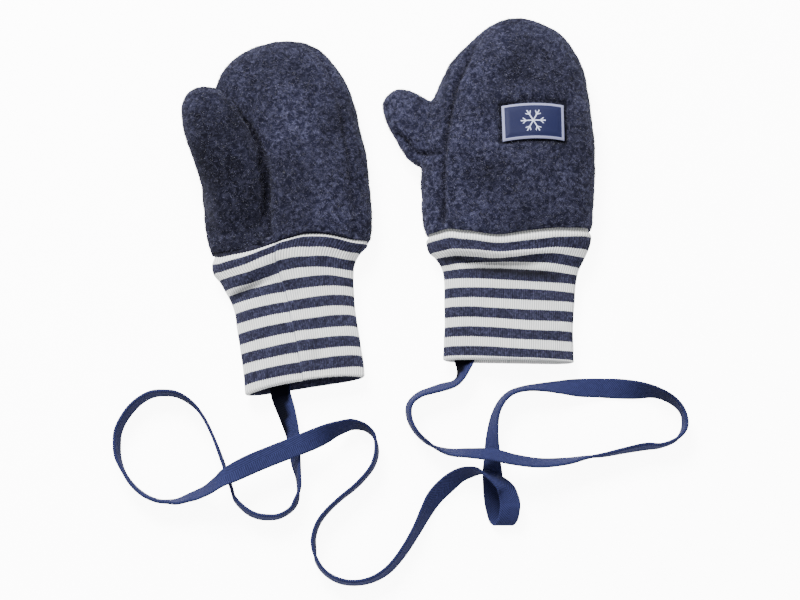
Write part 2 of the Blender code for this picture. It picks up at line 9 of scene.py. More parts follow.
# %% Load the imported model
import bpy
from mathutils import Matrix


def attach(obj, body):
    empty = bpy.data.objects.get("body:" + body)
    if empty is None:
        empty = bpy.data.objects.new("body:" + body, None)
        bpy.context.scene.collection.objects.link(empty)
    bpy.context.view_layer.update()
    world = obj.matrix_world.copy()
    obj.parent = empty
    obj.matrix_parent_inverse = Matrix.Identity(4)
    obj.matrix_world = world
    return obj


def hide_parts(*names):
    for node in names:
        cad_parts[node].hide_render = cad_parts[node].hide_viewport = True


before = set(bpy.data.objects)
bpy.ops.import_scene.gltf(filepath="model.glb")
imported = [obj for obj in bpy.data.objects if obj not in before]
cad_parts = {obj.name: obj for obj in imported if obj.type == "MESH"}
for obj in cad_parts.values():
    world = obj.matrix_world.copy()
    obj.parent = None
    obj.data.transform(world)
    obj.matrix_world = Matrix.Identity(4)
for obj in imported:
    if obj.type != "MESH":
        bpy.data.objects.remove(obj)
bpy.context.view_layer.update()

import bmesh
import bpy
import numpy as np
from mathutils import Vector

print("solids of the model:", ", ".join(sorted(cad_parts)))

# %% [markdown]
# ## Units, tables and smooth curves
# The tables hold millimetres on the table top, with x to the right and y towards the fingertips. Blender
# works in metres, so one helper moves and scales every point at the very end. A table has few rows, and a
# Catmull-Rom curve runs smoothly through them: it passes through each row, so the numbers stay readable.

# %% Units and curves
MM = 0.001
ORIGIN = np.array([-6.0, 48.2, 0.0])  # the model's own origin, in the plan of the tables
DICE = np.random.default_rng(7)


def smoothstep(value):
    """0 below 0, 1 above 1 and between them three times the square less twice the cube."""
    t = np.clip(value, 0.0, 1.0)
    return t * t * (3.0 - 2.0 * t)


def bell(value, width):
    """A smooth bump, 1 at zero and nothing much beyond twice the width."""
    return np.exp(-((value / width) ** 2))


def signed_power(value, power):
    """A power of the value's size, with its sign kept: below 1 it squares a sine wave up."""
    return np.sign(value) * np.abs(value) ** power


def unit(vectors):
    """Each vector divided by its own length."""
    return vectors / np.maximum(np.linalg.norm(vectors, axis=-1, keepdims=True), 1e-9)


def gone_along(line):
    """How far along a line of points each of them lies: the running sum of the steps' lengths."""
    return np.concatenate([[0.0], np.cumsum(np.linalg.norm(np.diff(line, axis=0), axis=-1))])


def between_rows(table, at):
    """The table's rows at the row numbers in at, on a Catmull-Rom curve through all the rows."""
    rows = np.array(table, float)
    ends = np.vstack([2 * rows[0] - rows[1], rows, 2 * rows[-1] - rows[-2]])
    first = np.clip(np.floor(at).astype(int), 0, len(rows) - 2)
    t = (at - first)[:, None]
    a, b, c, d = (ends[first + k] for k in range(4))
    return 0.5 * (2 * b + (c - a) * t + (2 * a - 5 * b + 4 * c - d) * t**2 + (3 * b - a - 3 * c + d) * t**3)


# %% [markdown]
# ## From a grid of points to a mesh
# Most pieces are a function of two parameters, so their points lie in a grid of rows and columns. A tube is
# the same grid with its last column joined to its first. The helper below makes the faces from whole index
# arrays, writes one UV pair for each corner, so a pattern can run on over the join, and turns the mesh
# outside out where its volume says that it is inside in.

# %% Mesh helpers
def signed_volume(points, faces):
    """A sixth of the sum, over all triangles, of the first corner dotted with the cross of the other two."""
    tris = np.vstack([faces[:, [0, 1, 2]], faces[:, [0, 2, 3]]]) if faces.shape[1] == 4 else faces
    a, b, c = (points[tris[:, k]] for k in range(3))
    return np.sum(a * np.cross(b, c)) / 6.0


def mesh_object(name, points, faces, uv=None):
    """An object at the origin from points in millimetres of the tables; uv has one pair for each corner."""
    if signed_volume(points - points.mean(axis=0), faces) < 0:
        faces = faces[:, ::-1]
        uv = None if uv is None else uv.reshape(*faces.shape, 2)[:, ::-1]
    mesh = bpy.data.meshes.new(name)
    mesh.from_pydata((points - ORIGIN) * MM, [], faces)
    if uv is not None:
        mesh.uv_layers.new(name="cloth").uv.foreach_set("vector", np.ascontiguousarray(uv, float).ravel())
    mesh.shade_smooth()
    made = bpy.data.objects.new(name, mesh)
    bpy.context.scene.collection.objects.link(made)
    return made


def grid_object(name, points, uv, wrap_rows=False, wrap_columns=False):
    """The faces of a grid of points: corner k of a face is the point a row down or a column on."""
    rows, columns = points.shape[:2]
    i, j = np.mgrid[0:rows - (not wrap_rows), 0:columns - (not wrap_columns)]
    i, j = i.ravel()[:, None] + [0, 0, 1, 1], j.ravel()[:, None] + [0, 1, 1, 0]
    faces = (i % rows) * columns + j % columns
    made = mesh_object(name, points.reshape(-1, 3), faces, uv[i, j])
    print(f"{name}: {len(faces) * 2} triangles")
    return made


def read_mesh(thing):
    """The mesh's points in millimetres of the tables, and its outward normals."""
    count = len(thing.data.vertices)
    points, normals = np.empty(count * 3), np.empty(count * 3)
    thing.data.vertices.foreach_get("co", points)
    thing.data.vertex_normals.foreach_get("vector", normals)
    return points.reshape(-1, 3) / MM + ORIGIN, normals.reshape(-1, 3)


def read_edges(thing):
    """The numbers of the two points of every edge."""
    ends = np.empty(len(thing.data.edges) * 2, int)
    thing.data.edges.foreach_get("vertices", ends)
    return ends.reshape(-1, 2)


def write_points(thing, points):
    """Put points in millimetres of the tables back into the mesh."""
    thing.data.vertices.foreach_set("co", ((points - ORIGIN) * MM).ravel())
    thing.data.update()


def write_shade(thing, shade):
    """Keep how bright the cloth is drawn at each point, painted light and shade included, for its material to
    read.
    """
    thing.data.attributes.new("shade", "FLOAT", "POINT").data.foreach_set("value", shade.ravel())


def reworked(thing, work):
    """Hand the mesh to a function as a bmesh, and keep what the function makes of it."""
    mesh = bmesh.new()
    mesh.from_mesh(thing.data)
    work(mesh)
    mesh.to_mesh(thing.data)
    mesh.free()


def bake(thing):
    """Apply the modifiers, so that the mesh holds the finished shape."""
    bpy.context.view_layer.update()
    shape = bpy.context.evaluated_depsgraph_get()
    result = bpy.data.meshes.new_from_object(thing.evaluated_get(shape))
    thing.modifiers.clear()
    thing.data = result
    thing.data.shade_smooth()


def thicken(thing, thickness):
    """Give an open skin its inner side and its rim."""
    wall = thing.modifiers.new("cloth", "SOLIDIFY")
    wall.thickness, wall.offset, wall.use_rim = thickness, -1.0, True
    bake(thing)


# %% [markdown]
# ## The camera
# The pair lies on a table and is seen from almost straight above, leaning 14 degrees towards the tape. A
# long lens keeps the two mittens free of perspective, as a catalogue picture does.

# %% Camera
camera_data = bpy.data.cameras.new("camera")
camera_data.lens, camera_data.sensor_width = 100.0, 36.0
camera = bpy.data.objects.new("camera", camera_data)
camera.location = (0.0060, -0.3170, 1.0781)
camera.rotation_euler = (np.radians(14.0), 0.0, 0.0)
bpy.context.scene.collection.objects.link(camera)
bpy.context.scene.camera = camera

# %% [markdown]
# ## The link tape: its route
# A flat tape has two things to say at every point: where its middle is, and how its width leans. Lying on
# the table it leans 0 degrees, and on its edge it leans 90. Each row below gives the plan point, the height
# of the lower edge and that lean, which runs on past 180 and 360 as the tape turns over and over. In a few
# rows the tape folds back over itself, and there its width keeps one direction in plan.

# %% Route of the tape
TAPE_WIDTH, TAPE_THICK, LOWEST = 10.0, 1.0, 0.1
TAPE_WAY = [
    (-59.5, -36.8, 2.9, 180), (-59.0, -42.6, 2.9, 180), (-58.7, -49.0, 2.6, 185), (-55.5, -58.7, 1.2, 209),
    (-52.4, -70.0, 0.3, 230), (-51.0, -82.0, 0.1, 242), (-49.6, -89.8, 0.1, 258), (-49.2, -96.2, 0.1, 263),
    (-50.5, -101.8, 0.1, 274), (-53.1, -106.2, 0.1, 270), (-58.3, -109.4, 0.1, 270),
    (-63.4, -110.1, 0.1, 272), (-69.4, -109.4, 0.1, 274), (-74.9, -106.6, 0.1, 275),
    (-80.3, -101.1, 0.1, 273), (-82.4, -95.0, 0.1, 270), (-86.4, -83.5, 0.1, 268), (-91.7, -70.1, 0.1, 270),
    (-97.2, -59.6, 0.1, 268), (-102.6, -53.5, 0.1, 270), (-109.6, -49.3, 0.1, 272),
    (-116.6, -48.4, 0.1, 272), (-122.5, -49.2, 0.1, 274), (-127.9, -52.2, 0.1, 276),
    (-132.4, -56.6, 0.1, 279), (-136.1, -62.2, 0.1, 279), (-138.3, -67.9, 0.1, 281),
    (-138.7, -74.0, 0.1, 281), (-137.9, -80.8, 0.1, 279), (-134.9, -87.8, 0.1, 272),
    (-130.4, -94.2, 0.1, 276), (-124.7, -99.1, 0.1, 279), (-118.3, -101.9, 0.1, 281),
    (-112.8, -102.4, 0.1, 284), (-108.0, -102.2, 0.3, 292), (-101.2, -99.9, 1.6, 301),
    (-94.3, -97.6, 6.2, 306), (-87.6, -93.9, 10.5, 318), (-81.8, -90.1, 10.9, 342),
    (-73.2, -85.4, 10.8, 360), (-61.4, -80.4, 10.8, 360), (-49.6, -75.8, 10.9, 362),
    (-40.1, -71.8, 9.2, 382), (-30.8, -67.1, 4.4, 417), (-24.0, -64.6, 1.2, 430), (-19.0, -65.0, 0.3, 440),
    (-15.5, -66.7, 0.1, 446), (-12.6, -70.0, 0.1, 450), (-11.4, -75.9, 0.1, 455), (-12.2, -81.6, 0.1, 455),
    (-14.9, -87.2, 0.1, 452), (-21.4, -94.5, 0.1, 451), (-29.0, -100.8, 0.1, 449),
    (-35.1, -106.6, 0.1, 450), (-39.5, -112.5, 0.1, 452), (-41.7, -118.9, 0.1, 454),
    (-41.8, -124.5, 0.1, 456), (-40.3, -131.1, 0.1, 447), (-36.0, -137.0, 0.1, 447),
    (-29.4, -140.8, 0.1, 446), (-21.7, -141.9, 0.1, 447), (-13.6, -140.3, 0.1, 444),
    (-5.9, -135.7, 0.1, 439), (1.1, -127.6, 0.1, 435), (7.8, -116.7, 0.1, 429), (12.3, -107.9, 0.1, 417),
    (16.8, -100.2, 0.4, 403), (23.1, -93.8, 0.8, 399), (29.1, -89.5, 1.2, 414), (34.7, -87.9, 1.6, 430),
    (39.0, -87.8, 2.0, 450), (41.8, -88.6, 2.6, 472), (45.6, -90.8, 3.6, 485), (50.0, -94.7, 5.0, 502),
    (52.5, -98.9, 6.4, 528), (53.5, -103.7, 7.0, 540), (53.1, -108.2, 6.3, 540), (52.2, -111.6, 4.8, 540),
    (50.4, -113.3, 2.7, 540), (48.4, -111.4, 0.7, 540), (46.9, -106.1, 0.1, 540), (45.8, -98.9, 0.1, 540),
    (45.4, -90.1, 0.1, 532), (45.1, -83.5, 0.1, 507), (45.1, -76.7, 0.1, 495), (45.3, -68.9, 0.1, 482),
    (46.8, -59.6, 0.1, 470), (50.1, -52.7, 0.1, 468), (54.7, -48.4, 0.1, 469), (60.9, -46.3, 0.1, 471),
    (68.8, -45.5, 0.1, 480), (79.0, -45.3, 0.1, 501), (89.0, -45.2, 0.1, 526), (101.4, -45.2, 0.1, 540),
    (115.0, -46.4, 0.1, 574), (125.4, -47.9, 0.1, 608), (133.6, -51.7, 0.1, 621), (138.9, -57.6, 0.1, 628),
    (139.7, -65.5, 0.1, 622), (135.7, -71.4, 0.1, 627), (128.0, -74.7, 0.1, 628), (120.3, -75.2, 0.1, 636),
    (110.6, -77.0, 0.1, 632), (100.1, -79.3, 0.4, 626), (91.2, -80.7, 1.2, 618), (81.2, -82.8, 2.6, 605),
    (68.3, -84.1, 5.6, 596), (56.0, -83.0, 8.2, 590), (44.8, -80.6, 9.0, 585), (33.5, -79.4, 6.6, 595),
    (23.4, -77.9, 2.2, 606), (14.7, -74.0, 0.1, 624), (8.2, -68.1, 0.1, 630), (4.7, -61.1, 0.1, 637),
    (4.8, -54.2, 0.1, 646), (9.3, -49.5, 0.1, 652), (15.0, -47.3, 0.1, 656), (21.2, -45.4, 0.1, 660),
    (26.6, -43.8, 0.1, 655), (29.9, -40.6, 0.3, 654), (31.5, -35.9, 1.2, 674), (31.9, -31.9, 3.0, 708),
    (31.7, -26.5, 3.25, 718), (31.6, -20.4, 3.35, 720),
]
FOLDED = (74, 80)  # the rows where the tape folds back over itself


def tape_rings(steps):
    """Centres of the tape's rings and the directions of its width and thickness, steps rings to a row.

    The width leans out of the plan by the row's angle, square to the way; the thickness is the cross product
    of the way and the width, and the centre stands as high as half the ring reaches down.
    """
    rows = np.arange(len(TAPE_WAY))
    at = np.linspace(0, rows[-1], rows[-1] * steps + 1)
    x, y, lift, lean = between_rows(TAPE_WAY, at).T
    folded = np.interp(at, rows, (rows >= FOLDED[0]) & (rows <= FOLDED[1]))[:, None]
    lean, lift = np.radians(lean), np.maximum(lift, LOWEST)
    middle = lift + TAPE_WIDTH / 2 * np.abs(np.sin(lean)) + TAPE_THICK / 2 * np.abs(np.cos(lean))
    way = np.stack([x, y, middle], axis=-1)
    ahead = np.gradient(way, axis=0)
    square = unit(np.stack([-ahead[:, 1], ahead[:, 0]], axis=-1))
    square = unit((1.0 - folded) * square + folded * np.sign(square[:, :1] + 0.001) * [[1.0, 0.0]])
    width = np.column_stack([square * np.cos(lean)[:, None], np.sin(lean)])
    turned = np.sign(np.sum(width[1:] * width[:-1], axis=-1))
    width[1:] *= np.cumprod(np.where(turned < 0, -1.0, 1.0))[:, None]
    ahead = unit(ahead - folded * np.sum(ahead * width, axis=-1, keepdims=True) * width)
    width = unit(width - np.sum(width * ahead, axis=-1, keepdims=True) * ahead)
    thick = np.cross(ahead, width)
    way[:, 2] = lift + TAPE_WIDTH / 2 * np.abs(width[:, 2]) + TAPE_THICK / 2 * np.abs(thick[:, 2])
    return way, width, thick


way, width, thick = tape_rings(8)
along = gone_along(way)
print(f"tape: {along[-1] / 10:.1f} cm")

# %% [markdown]
# ## The link tape: its strip
# The cross section is a thin bar with rounded edges, a little thicker at both selvedges, where the weft
# turns back. Where the tape stands on edge its weave opens, and it is up to a third thicker. The section is
# carried along the route, and the UV map runs in millimetres across and along the tape, so the twill in the
# material has its true size wherever the tape turns. Two short tables say where the tape is in the shadow
# of a cuff and where it turns away from the light.

# %% Strip of the tape
turn = np.linspace(0.0, 2.0 * np.pi, 24, endpoint=False)
section_across = TAPE_WIDTH / 2 * signed_power(np.cos(turn), 0.42)
selvedge = 1.0 + 0.35 * bell(np.abs(section_across) - 4.3, 0.5)
section_up = 0.58 * signed_power(np.sin(turn), 0.6) * selvedge
on_edge = 1.0 + 0.32 * np.abs(width[:, 2]) ** 4
strip = (
    way[:, None] + section_across[None, :, None] * width[:, None]
    + (section_up[None, :] * on_edge[:, None])[..., None] * thick[:, None]
)
u = np.append(section_across, section_across[0])
tape_uv = np.stack(np.broadcast_arrays(u[None, :], along[:, None]), -1)
link_tape = grid_object("tape_strip", strip, tape_uv, wrap_columns=True)


def close_ends(mesh):
    """A face over each open end."""
    bmesh.ops.holes_fill(mesh, edges=[e for e in mesh.edges if e.is_boundary], sides=0)


reworked(link_tape, close_ends)

IN_SHADOW = [  # row, and the share of the tape's width, from its left edge, that lies in a cuff's shadow
    (0, 1.0), (2, 0.95), (3, 0.62), (4, 0.10), (4.3, -0.1),
    (118, 0.0), (119, 0.30), (120, 0.69), (121, 1.0), (123, 1.0),
]
TURNS_AWAY = [  # row, reach in rows and how much darker the tape is there, where it turns out of the light
    (19.3, 1.5, 0.35), (45.5, 1.6, 0.50), (69.0, 1.4, 0.30), (80.6, 1.5, 0.45), (95.6, 1.2, 0.50),
]
row = np.linspace(0.0, len(TAPE_WAY) - 1, len(way))
from_left = 0.5 + np.sign(width[:, :1]) * section_across[None, :] / TAPE_WIDTH
in_shadow = np.interp(row, *zip(*IN_SHADOW))[:, None]
tape_shade = 1.0 - 0.93 * smoothstep((in_shadow - from_left) / 0.10 + 0.5)
for middle, reach, depth in TURNS_AWAY:
    tape_shade *= 1.0 - depth * bell(row - middle, reach)[:, None]
write_shade(link_tape, tape_shade)

TAPE_EXIT = (way[0] - ORIGIN) * MM
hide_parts("link_tape")
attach(link_tape, "root")
((way - ORIGIN) * MM).tolist()

# %% [markdown]
# ## The tables of the mittens
# One row is one flattened ring round the hand: its left and right side points in plan, the heights of its
# top, of its widest line and of its underside, and how far the top runs ahead of the sides. The left mitten
# lies palm up with its thumb over the palm, the right one lies back up with its thumb spread.

# %% Tables
FLEECE, RIB = 2.6, 1.9  # walls of the felted fleece and of the doubled rib
PLAN_POWER, RISE_POWER = 0.85, 0.9  # how square the rings are across and upwards
LEFT_JOINT = (-94.4, 20.6, -14.5, 27.4, 19.0, 8.0, -2.0, 4.5)
RIGHT_JOINT = (12.4, 30.8, 96.0, 33.3, 20.0, 8.5, -2.0, -1.5)
LEFT_HAND = [
    LEFT_JOINT,
    (-96.6, 31.7, -13.6, 33.0, 20.5, 8.0, -2.0, 3.0),
    (-98.6, 45.0, -14.3, 46.0, 22.0, 8.0, -2.0, 1.5),
    (-99.6, 58.0, -15.3, 58.0, 22.5, 8.0, -2.0, 0.5),
    (-100.5, 72.0, -16.7, 71.0, 22.5, 8.0, -2.0, 0.0),
    (-100.0, 86.0, -19.7, 86.3, 22.0, 8.0, -2.0, 0.0),
    (-97.9, 99.0, -22.8, 99.3, 21.0, 8.0, -2.0, 0.0),
    (-94.0, 109.5, -27.0, 110.8, 19.8, 8.0, -2.0, 0.0),
    (-89.3, 119.0, -32.5, 120.6, 18.2, 8.0, -1.5, 0.0),
    (-82.5, 126.2, -39.5, 127.8, 15.8, 8.0, -0.5, 0.0),
    (-73.6, 130.9, -47.5, 132.4, 13.2, 8.0, 2.4, 0.0),
    (-65.5, 133.4, -54.5, 134.2, 10.8, 8.0, 5.0, 0.0),
    (-60.0, 134.7, -60.0, 134.7, 8.0, 8.0, 8.0, 0.0),
]
RIGHT_HAND = [
    RIGHT_JOINT,
    (11.4, 42.0, 96.8, 42.0, 21.5, 8.5, -2.0, -0.5),
    (10.7, 55.0, 97.7, 55.0, 23.0, 8.5, -2.0, 0.0),
    (10.6, 68.0, 98.0, 68.0, 24.0, 8.5, -2.0, 0.0),
    (11.8, 82.0, 97.9, 82.0, 24.5, 8.5, -2.0, 0.0),
    (14.6, 96.0, 97.1, 96.0, 24.0, 8.5, -2.0, 0.0),
    (18.8, 107.0, 95.9, 107.0, 22.8, 8.5, -2.0, 0.0),
    (23.0, 117.0, 93.8, 117.0, 21.2, 8.5, -2.0, 0.0),
    (28.6, 125.6, 90.6, 125.6, 19.4, 8.5, -1.5, 0.0),
    (35.8, 133.2, 86.2, 133.2, 17.2, 8.5, -0.8, 0.0),
    (42.6, 139.6, 80.0, 139.6, 14.8, 8.5, 0.8, 0.0),
    (48.8, 144.0, 72.0, 143.9, 12.6, 8.5, 3.4, 0.0),
    (54.6, 146.2, 64.8, 146.0, 10.6, 8.5, 6.2, 0.0),
    (59.6, 146.8, 59.6, 146.8, 8.5, 8.5, 8.5, 0.0),
]
LEFT_THUMB = [
    (-91.5, 28.0, -67.5, 28.0, 16.0, 8.5, 5.5, 0.0),
    (-95.8, 41.0, -65.9, 41.0, 21.3, 8.8, 5.5, 0.0),
    (-98.4, 52.0, -66.1, 52.0, 24.3, 11.0, 6.5, 0.0),
    (-100.9, 61.0, -67.0, 61.0, 26.2, 15.8, 9.6, 0.0),
    (-104.0, 70.0, -70.5, 70.5, 27.5, 19.5, 13.2, 0.0),
    (-108.0, 81.0, -74.8, 80.5, 28.0, 19.5, 13.5, 0.0),
    (-109.8, 91.5, -79.5, 90.0, 27.5, 19.5, 13.6, 0.0),
    (-108.2, 99.5, -84.8, 98.5, 26.0, 19.5, 14.2, 0.0),
    (-103.5, 104.4, -91.0, 103.6, 23.4, 19.5, 15.8, 0.0),
    (-97.5, 106.0, -97.5, 106.0, 19.5, 19.5, 19.5, 0.0),
]
RIGHT_THUMB = [
    (21.0, 64.0, 31.0, 96.0, 14.0, 7.0, 1.6, 0.0),
    (12.5, 66.0, 21.0, 99.5, 14.0, 7.0, 1.2, 0.0),
    (5.8, 69.9, 13.6, 103.2, 13.6, 6.7, 0.6, 0.0),
    (1.4, 76.0, 8.6, 106.6, 13.2, 6.5, -0.8, 0.0),
    (-2.8, 83.5, 2.6, 108.9, 12.6, 6.5, -1.5, 0.0),
    (-6.6, 90.2, -2.8, 108.2, 11.4, 6.5, 0.0, 0.0),
    (-8.8, 96.0, -6.8, 105.2, 9.4, 6.5, 3.2, 0.0),
    (-9.3, 100.8, -9.3, 100.8, 6.5, 6.5, 6.5, 0.0),
]
LEFT_CUFF = [
    LEFT_JOINT,
    (-92.9, 11.6, -19.8, 22.6, 17.0, 7.2, -1.8, 3.4),
    (-89.0, 6.6, -22.8, 16.5, 15.0, 6.5, -1.6, 2.6),
    (-85.0, 0.0, -23.6, 8.5, 13.2, 6.0, -1.5, 2.0),
    (-81.9, -7.0, -22.9, -2.5, 12.0, 5.7, -1.5, 1.6),
    (-80.6, -15.0, -21.6, -11.5, 11.5, 5.6, -1.5, 1.6),
    (-78.9, -25.0, -19.8, -22.5, 11.3, 5.6, -1.5, 1.6),
    (-77.3, -37.0, -18.2, -33.0, 11.3, 5.6, -1.5, 1.8),
    (-75.8, -50.0, -17.7, -41.0, 11.5, 5.6, -1.5, 2.2),
]
RIGHT_CUFF = [
    RIGHT_JOINT,
    (13.8, 23.2, 95.0, 25.8, 17.5, 7.4, -1.8, -1.0),
    (17.8, 19.4, 91.8, 19.0, 15.0, 6.5, -1.6, -0.5),
    (21.0, 13.5, 88.6, 12.5, 13.0, 6.0, -1.5, 0.0),
    (22.2, 4.0, 87.0, 4.0, 11.8, 5.6, -1.5, 0.0),
    (22.3, -6.0, 86.3, -6.0, 11.0, 5.4, -1.5, 0.0),
    (22.1, -16.0, 85.8, -16.0, 10.7, 5.3, -1.5, 0.0),
    (21.6, -25.0, 85.7, -25.0, 10.5, 5.3, -1.5, 0.0),
    (21.2, -32.3, 85.9, -33.4, 10.5, 5.3, -1.5, 0.3),
]
PRESS_EDGE = [
    (20.0, -65.5), (61.0, -67.0), (70.5, -70.5), (80.5, -74.8), (90.0, -79.5), (98.5, -84.8), (106.0, -90.0),
]
PRESS_DEPTH = 9.6

# %% [markdown]
# ## The rings of the forms
# Every form of the mittens is one function of a turn and of a row number. Across a ring runs the cosine of
# the turn and upwards its sine, each to a power under 1, which makes the ring fuller than an ellipse.

# %% Rings of the forms
def press(x, y):
    """How far the left palm is pressed down under the thumb: a smooth step across it times one along it."""
    ys, xs = np.array(PRESS_EDGE).T
    inside = smoothstep((np.interp(y, ys, xs) + 9.0 - x) / 14.0)
    along_it = smoothstep((y - 24.0) / 24.0) * (1.0 - smoothstep((y - 98.0) / 22.0))
    return PRESS_DEPTH * inside * along_it


def form(table, turns, at, floor=0.0, pressed=False):
    """Points of a ring form at turns in degrees and row numbers, none of them below the floor."""
    xl, yl, xr, yr, top, edge, bottom, lead = (c[:, None] for c in between_rows(table, at).T)
    angle = np.radians(np.asarray(turns, float))[None, :]
    cosine, sine = np.cos(angle), np.sin(angle)
    across, up = signed_power(cosine, PLAN_POWER), np.abs(sine) ** RISE_POWER
    x = (xl + xr) / 2 + (xr - xl) / 2 * across
    y = (yl + yr) / 2 + (yr - yl) / 2 * across + lead * np.where(sine > 0, up**2, 0.0)
    drop = press(x, y) if pressed else 0.0
    z = edge + np.where(sine > 0, top - edge - drop, bottom - edge) * up
    return np.stack([x, y, np.maximum(z, floor)], axis=-1)


def inset(table, depth):
    """The same form drawn in all round by depth: each side point moves square to its side's line."""
    rows = np.array(table, float)
    across = unit(rows[:, 2:4] - rows[:, :2])
    sides = []
    for first, inward in ((0, across), (2, -across)):
        line = np.gradient(rows[:, first:first + 2], axis=0)
        square = np.stack([line[:, 1], -line[:, 0]], axis=-1)
        square *= np.sign(np.sum(square * inward, axis=-1, keepdims=True))
        sides.append(unit(square))
    share = np.sum((sides[0] - sides[1]) * across, axis=-1) / 2
    rows[:, :2] += depth * sides[0]
    rows[:, 2:4] += depth * sides[1]
    rows[:, 4] = np.maximum(rows[:, 4] - depth * share, rows[:, 5])
    rows[:, 6] = np.minimum(rows[:, 6] + depth * share, rows[:, 5])
    return rows


# %% [markdown]
# ## The wavy line where fleece and rib meet
# The joint isn't a clean ring: the rib pulls the fleece in unevenly, so its upper line waves by a
# millimetre or two. Both the hand and the cuff read the same function, so they always meet.

# %% Joint line
JOINT_TOP = {
    "left": [
        (-94.4, 21.6), (-90.0, 21.2), (-84.2, 21.4), (-78.0, 21.6), (-72.2, 22.3), (-65.2, 24.0),
        (-59.8, 26.1), (-53.4, 28.1), (-47.0, 29.8), (-40.6, 30.1), (-34.7, 29.6), (-28.3, 28.4),
        (-21.8, 27.3), (-14.5, 27.5),
    ],
    "right": [
        (12.4, 30.6), (17.9, 31.2), (23.8, 32.2), (30.2, 31.3), (36.6, 30.4), (43.0, 29.2), (48.9, 28.7),
        (55.4, 29.4), (61.8, 30.5), (69.8, 31.6), (77.8, 32.5), (86.9, 33.0), (96.0, 33.8),
    ],
}
JOINT_RING = {"left": LEFT_JOINT, "right": RIGHT_JOINT}


def joint_line(side, points):
    """The joint's y at each point's x: on the upper side the waved line, underneath the straight one."""
    xl, yl, xr, yr, _, edge = JOINT_RING[side][:6]
    above = smoothstep((points[:, 2] - edge) / 2.0 + 0.5)
    dense = between_rows(JOINT_TOP[side], np.linspace(0, len(JOINT_TOP[side]) - 1, 300))
    straight = yl + (yr - yl) * np.clip((points[:, 0] - xl) / (xr - xl), 0.0, 1.0)
    return straight + above * (np.interp(points[:, 0], dense[:, 0], dense[:, 1]) - straight)


# %% [markdown]
# ## Wool noise
# Felted fleece is never flat: it has soft lumps of about a centimetre and a matted pile of a millimetre or
# two. The helper makes both. It fills a small lattice with seeded random numbers and blends the eight
# around each point, smoothly along each axis, which is classic value noise done for all points at once.

# %% Value noise
LATTICE = np.random.default_rng(11).random((32, 32, 32)) * 2.0 - 1.0


def wool_noise(points, cell, shift=0.0):
    """Smooth noise from -1 to 1 with features of about cell: eight lattice values blended by smooth steps."""
    q = points / cell + shift
    low = np.floor(q).astype(int)
    f = q - low
    f = f * f * (3.0 - 2.0 * f)
    total = np.zeros(len(points))
    for corner in np.ndindex(2, 2, 2):
        index = (low + corner) % 32
        share = np.prod(np.where(np.array(corner) == 1, f, 1.0 - f), axis=-1)
        total += share * LATTICE[index[:, 0], index[:, 1], index[:, 2]]
    return total


def wool_layers(points, layers, start=0.0):
    """Noises laid over one another, each given as its size, its shift and its strength, added to start."""
    return sum((much * wool_noise(points, cell, shift) for cell, shift, much in layers), start)


def smoothed(points, edges, times):
    """Move every point half way to the mean of its neighbours, several times; bincount adds up the sums."""
    count = len(points)
    both = np.concatenate([edges, edges[:, ::-1]])
    near = np.maximum(np.bincount(both[:, 0], minlength=count), 1)[:, None]
    for _ in range(times):
        mean = np.stack([np.bincount(both[:, 0], points[both[:, 1], k], count) for k in range(3)], -1) / near
        points = points + 0.5 * (mean - points)
    return points


# %% [markdown]
# ## The fleece: hand and thumb in one skin
# On the real mitten the thumb grows out of the palm, and cloth can't meet there in a hard Boolean edge. So
# the two forms are made as closed meshes that pass through each other, and a voxel remesh gives one even
# skin over both with a natural crease between them. The skin is then relaxed, and cut along the joint line:
# sliding every point by the joint's own y makes that wavy cut a straight one, and the slide is undone after.
# A cut leaves slivers at the rim, so close rim points are merged and the cloth beside the rim is relaxed.

# %% Skin over hand and thumb
VOXEL = 0.0009  # a cell of the even skin, in metres
ON_CUT, SLIVER = 0.00025, 0.00035  # how near a point counts as on the cut, and rim points as one


def closed_tube(name, table, first, rings, pressed=False):
    """A ring form with both ends drawn to a point, so that it encloses a volume."""
    turns = np.arange(0.0, 360.0, 3.0)
    skin = form(table, turns, np.linspace(first, len(table) - 1, rings), 0.0, pressed)
    cap = np.repeat(skin[:1].mean(axis=1, keepdims=True), len(turns), axis=1)
    skin = np.concatenate([cap, skin])
    return grid_object(name, skin, np.zeros((rings + 1, len(turns) + 1, 2)), wrap_columns=True)


def open_at_joint(mesh):
    """Cut along the joint, which is straight here, put the new rim on the cut and merge its slivers."""
    plane = (0.0, -ORIGIN[1] * MM, 0.0)
    made = bmesh.ops.bisect_plane(
        mesh, geom=mesh.verts[:] + mesh.edges[:] + mesh.faces[:], plane_co=plane, plane_no=(0, -1, 0),
        clear_outer=True, dist=ON_CUT,
    )
    rim = [corner for corner in made["geom_cut"] if isinstance(corner, bmesh.types.BMVert)]
    for corner in rim:
        corner.co.y = plane[1]
    bmesh.ops.remove_doubles(mesh, verts=rim, dist=SLIVER)


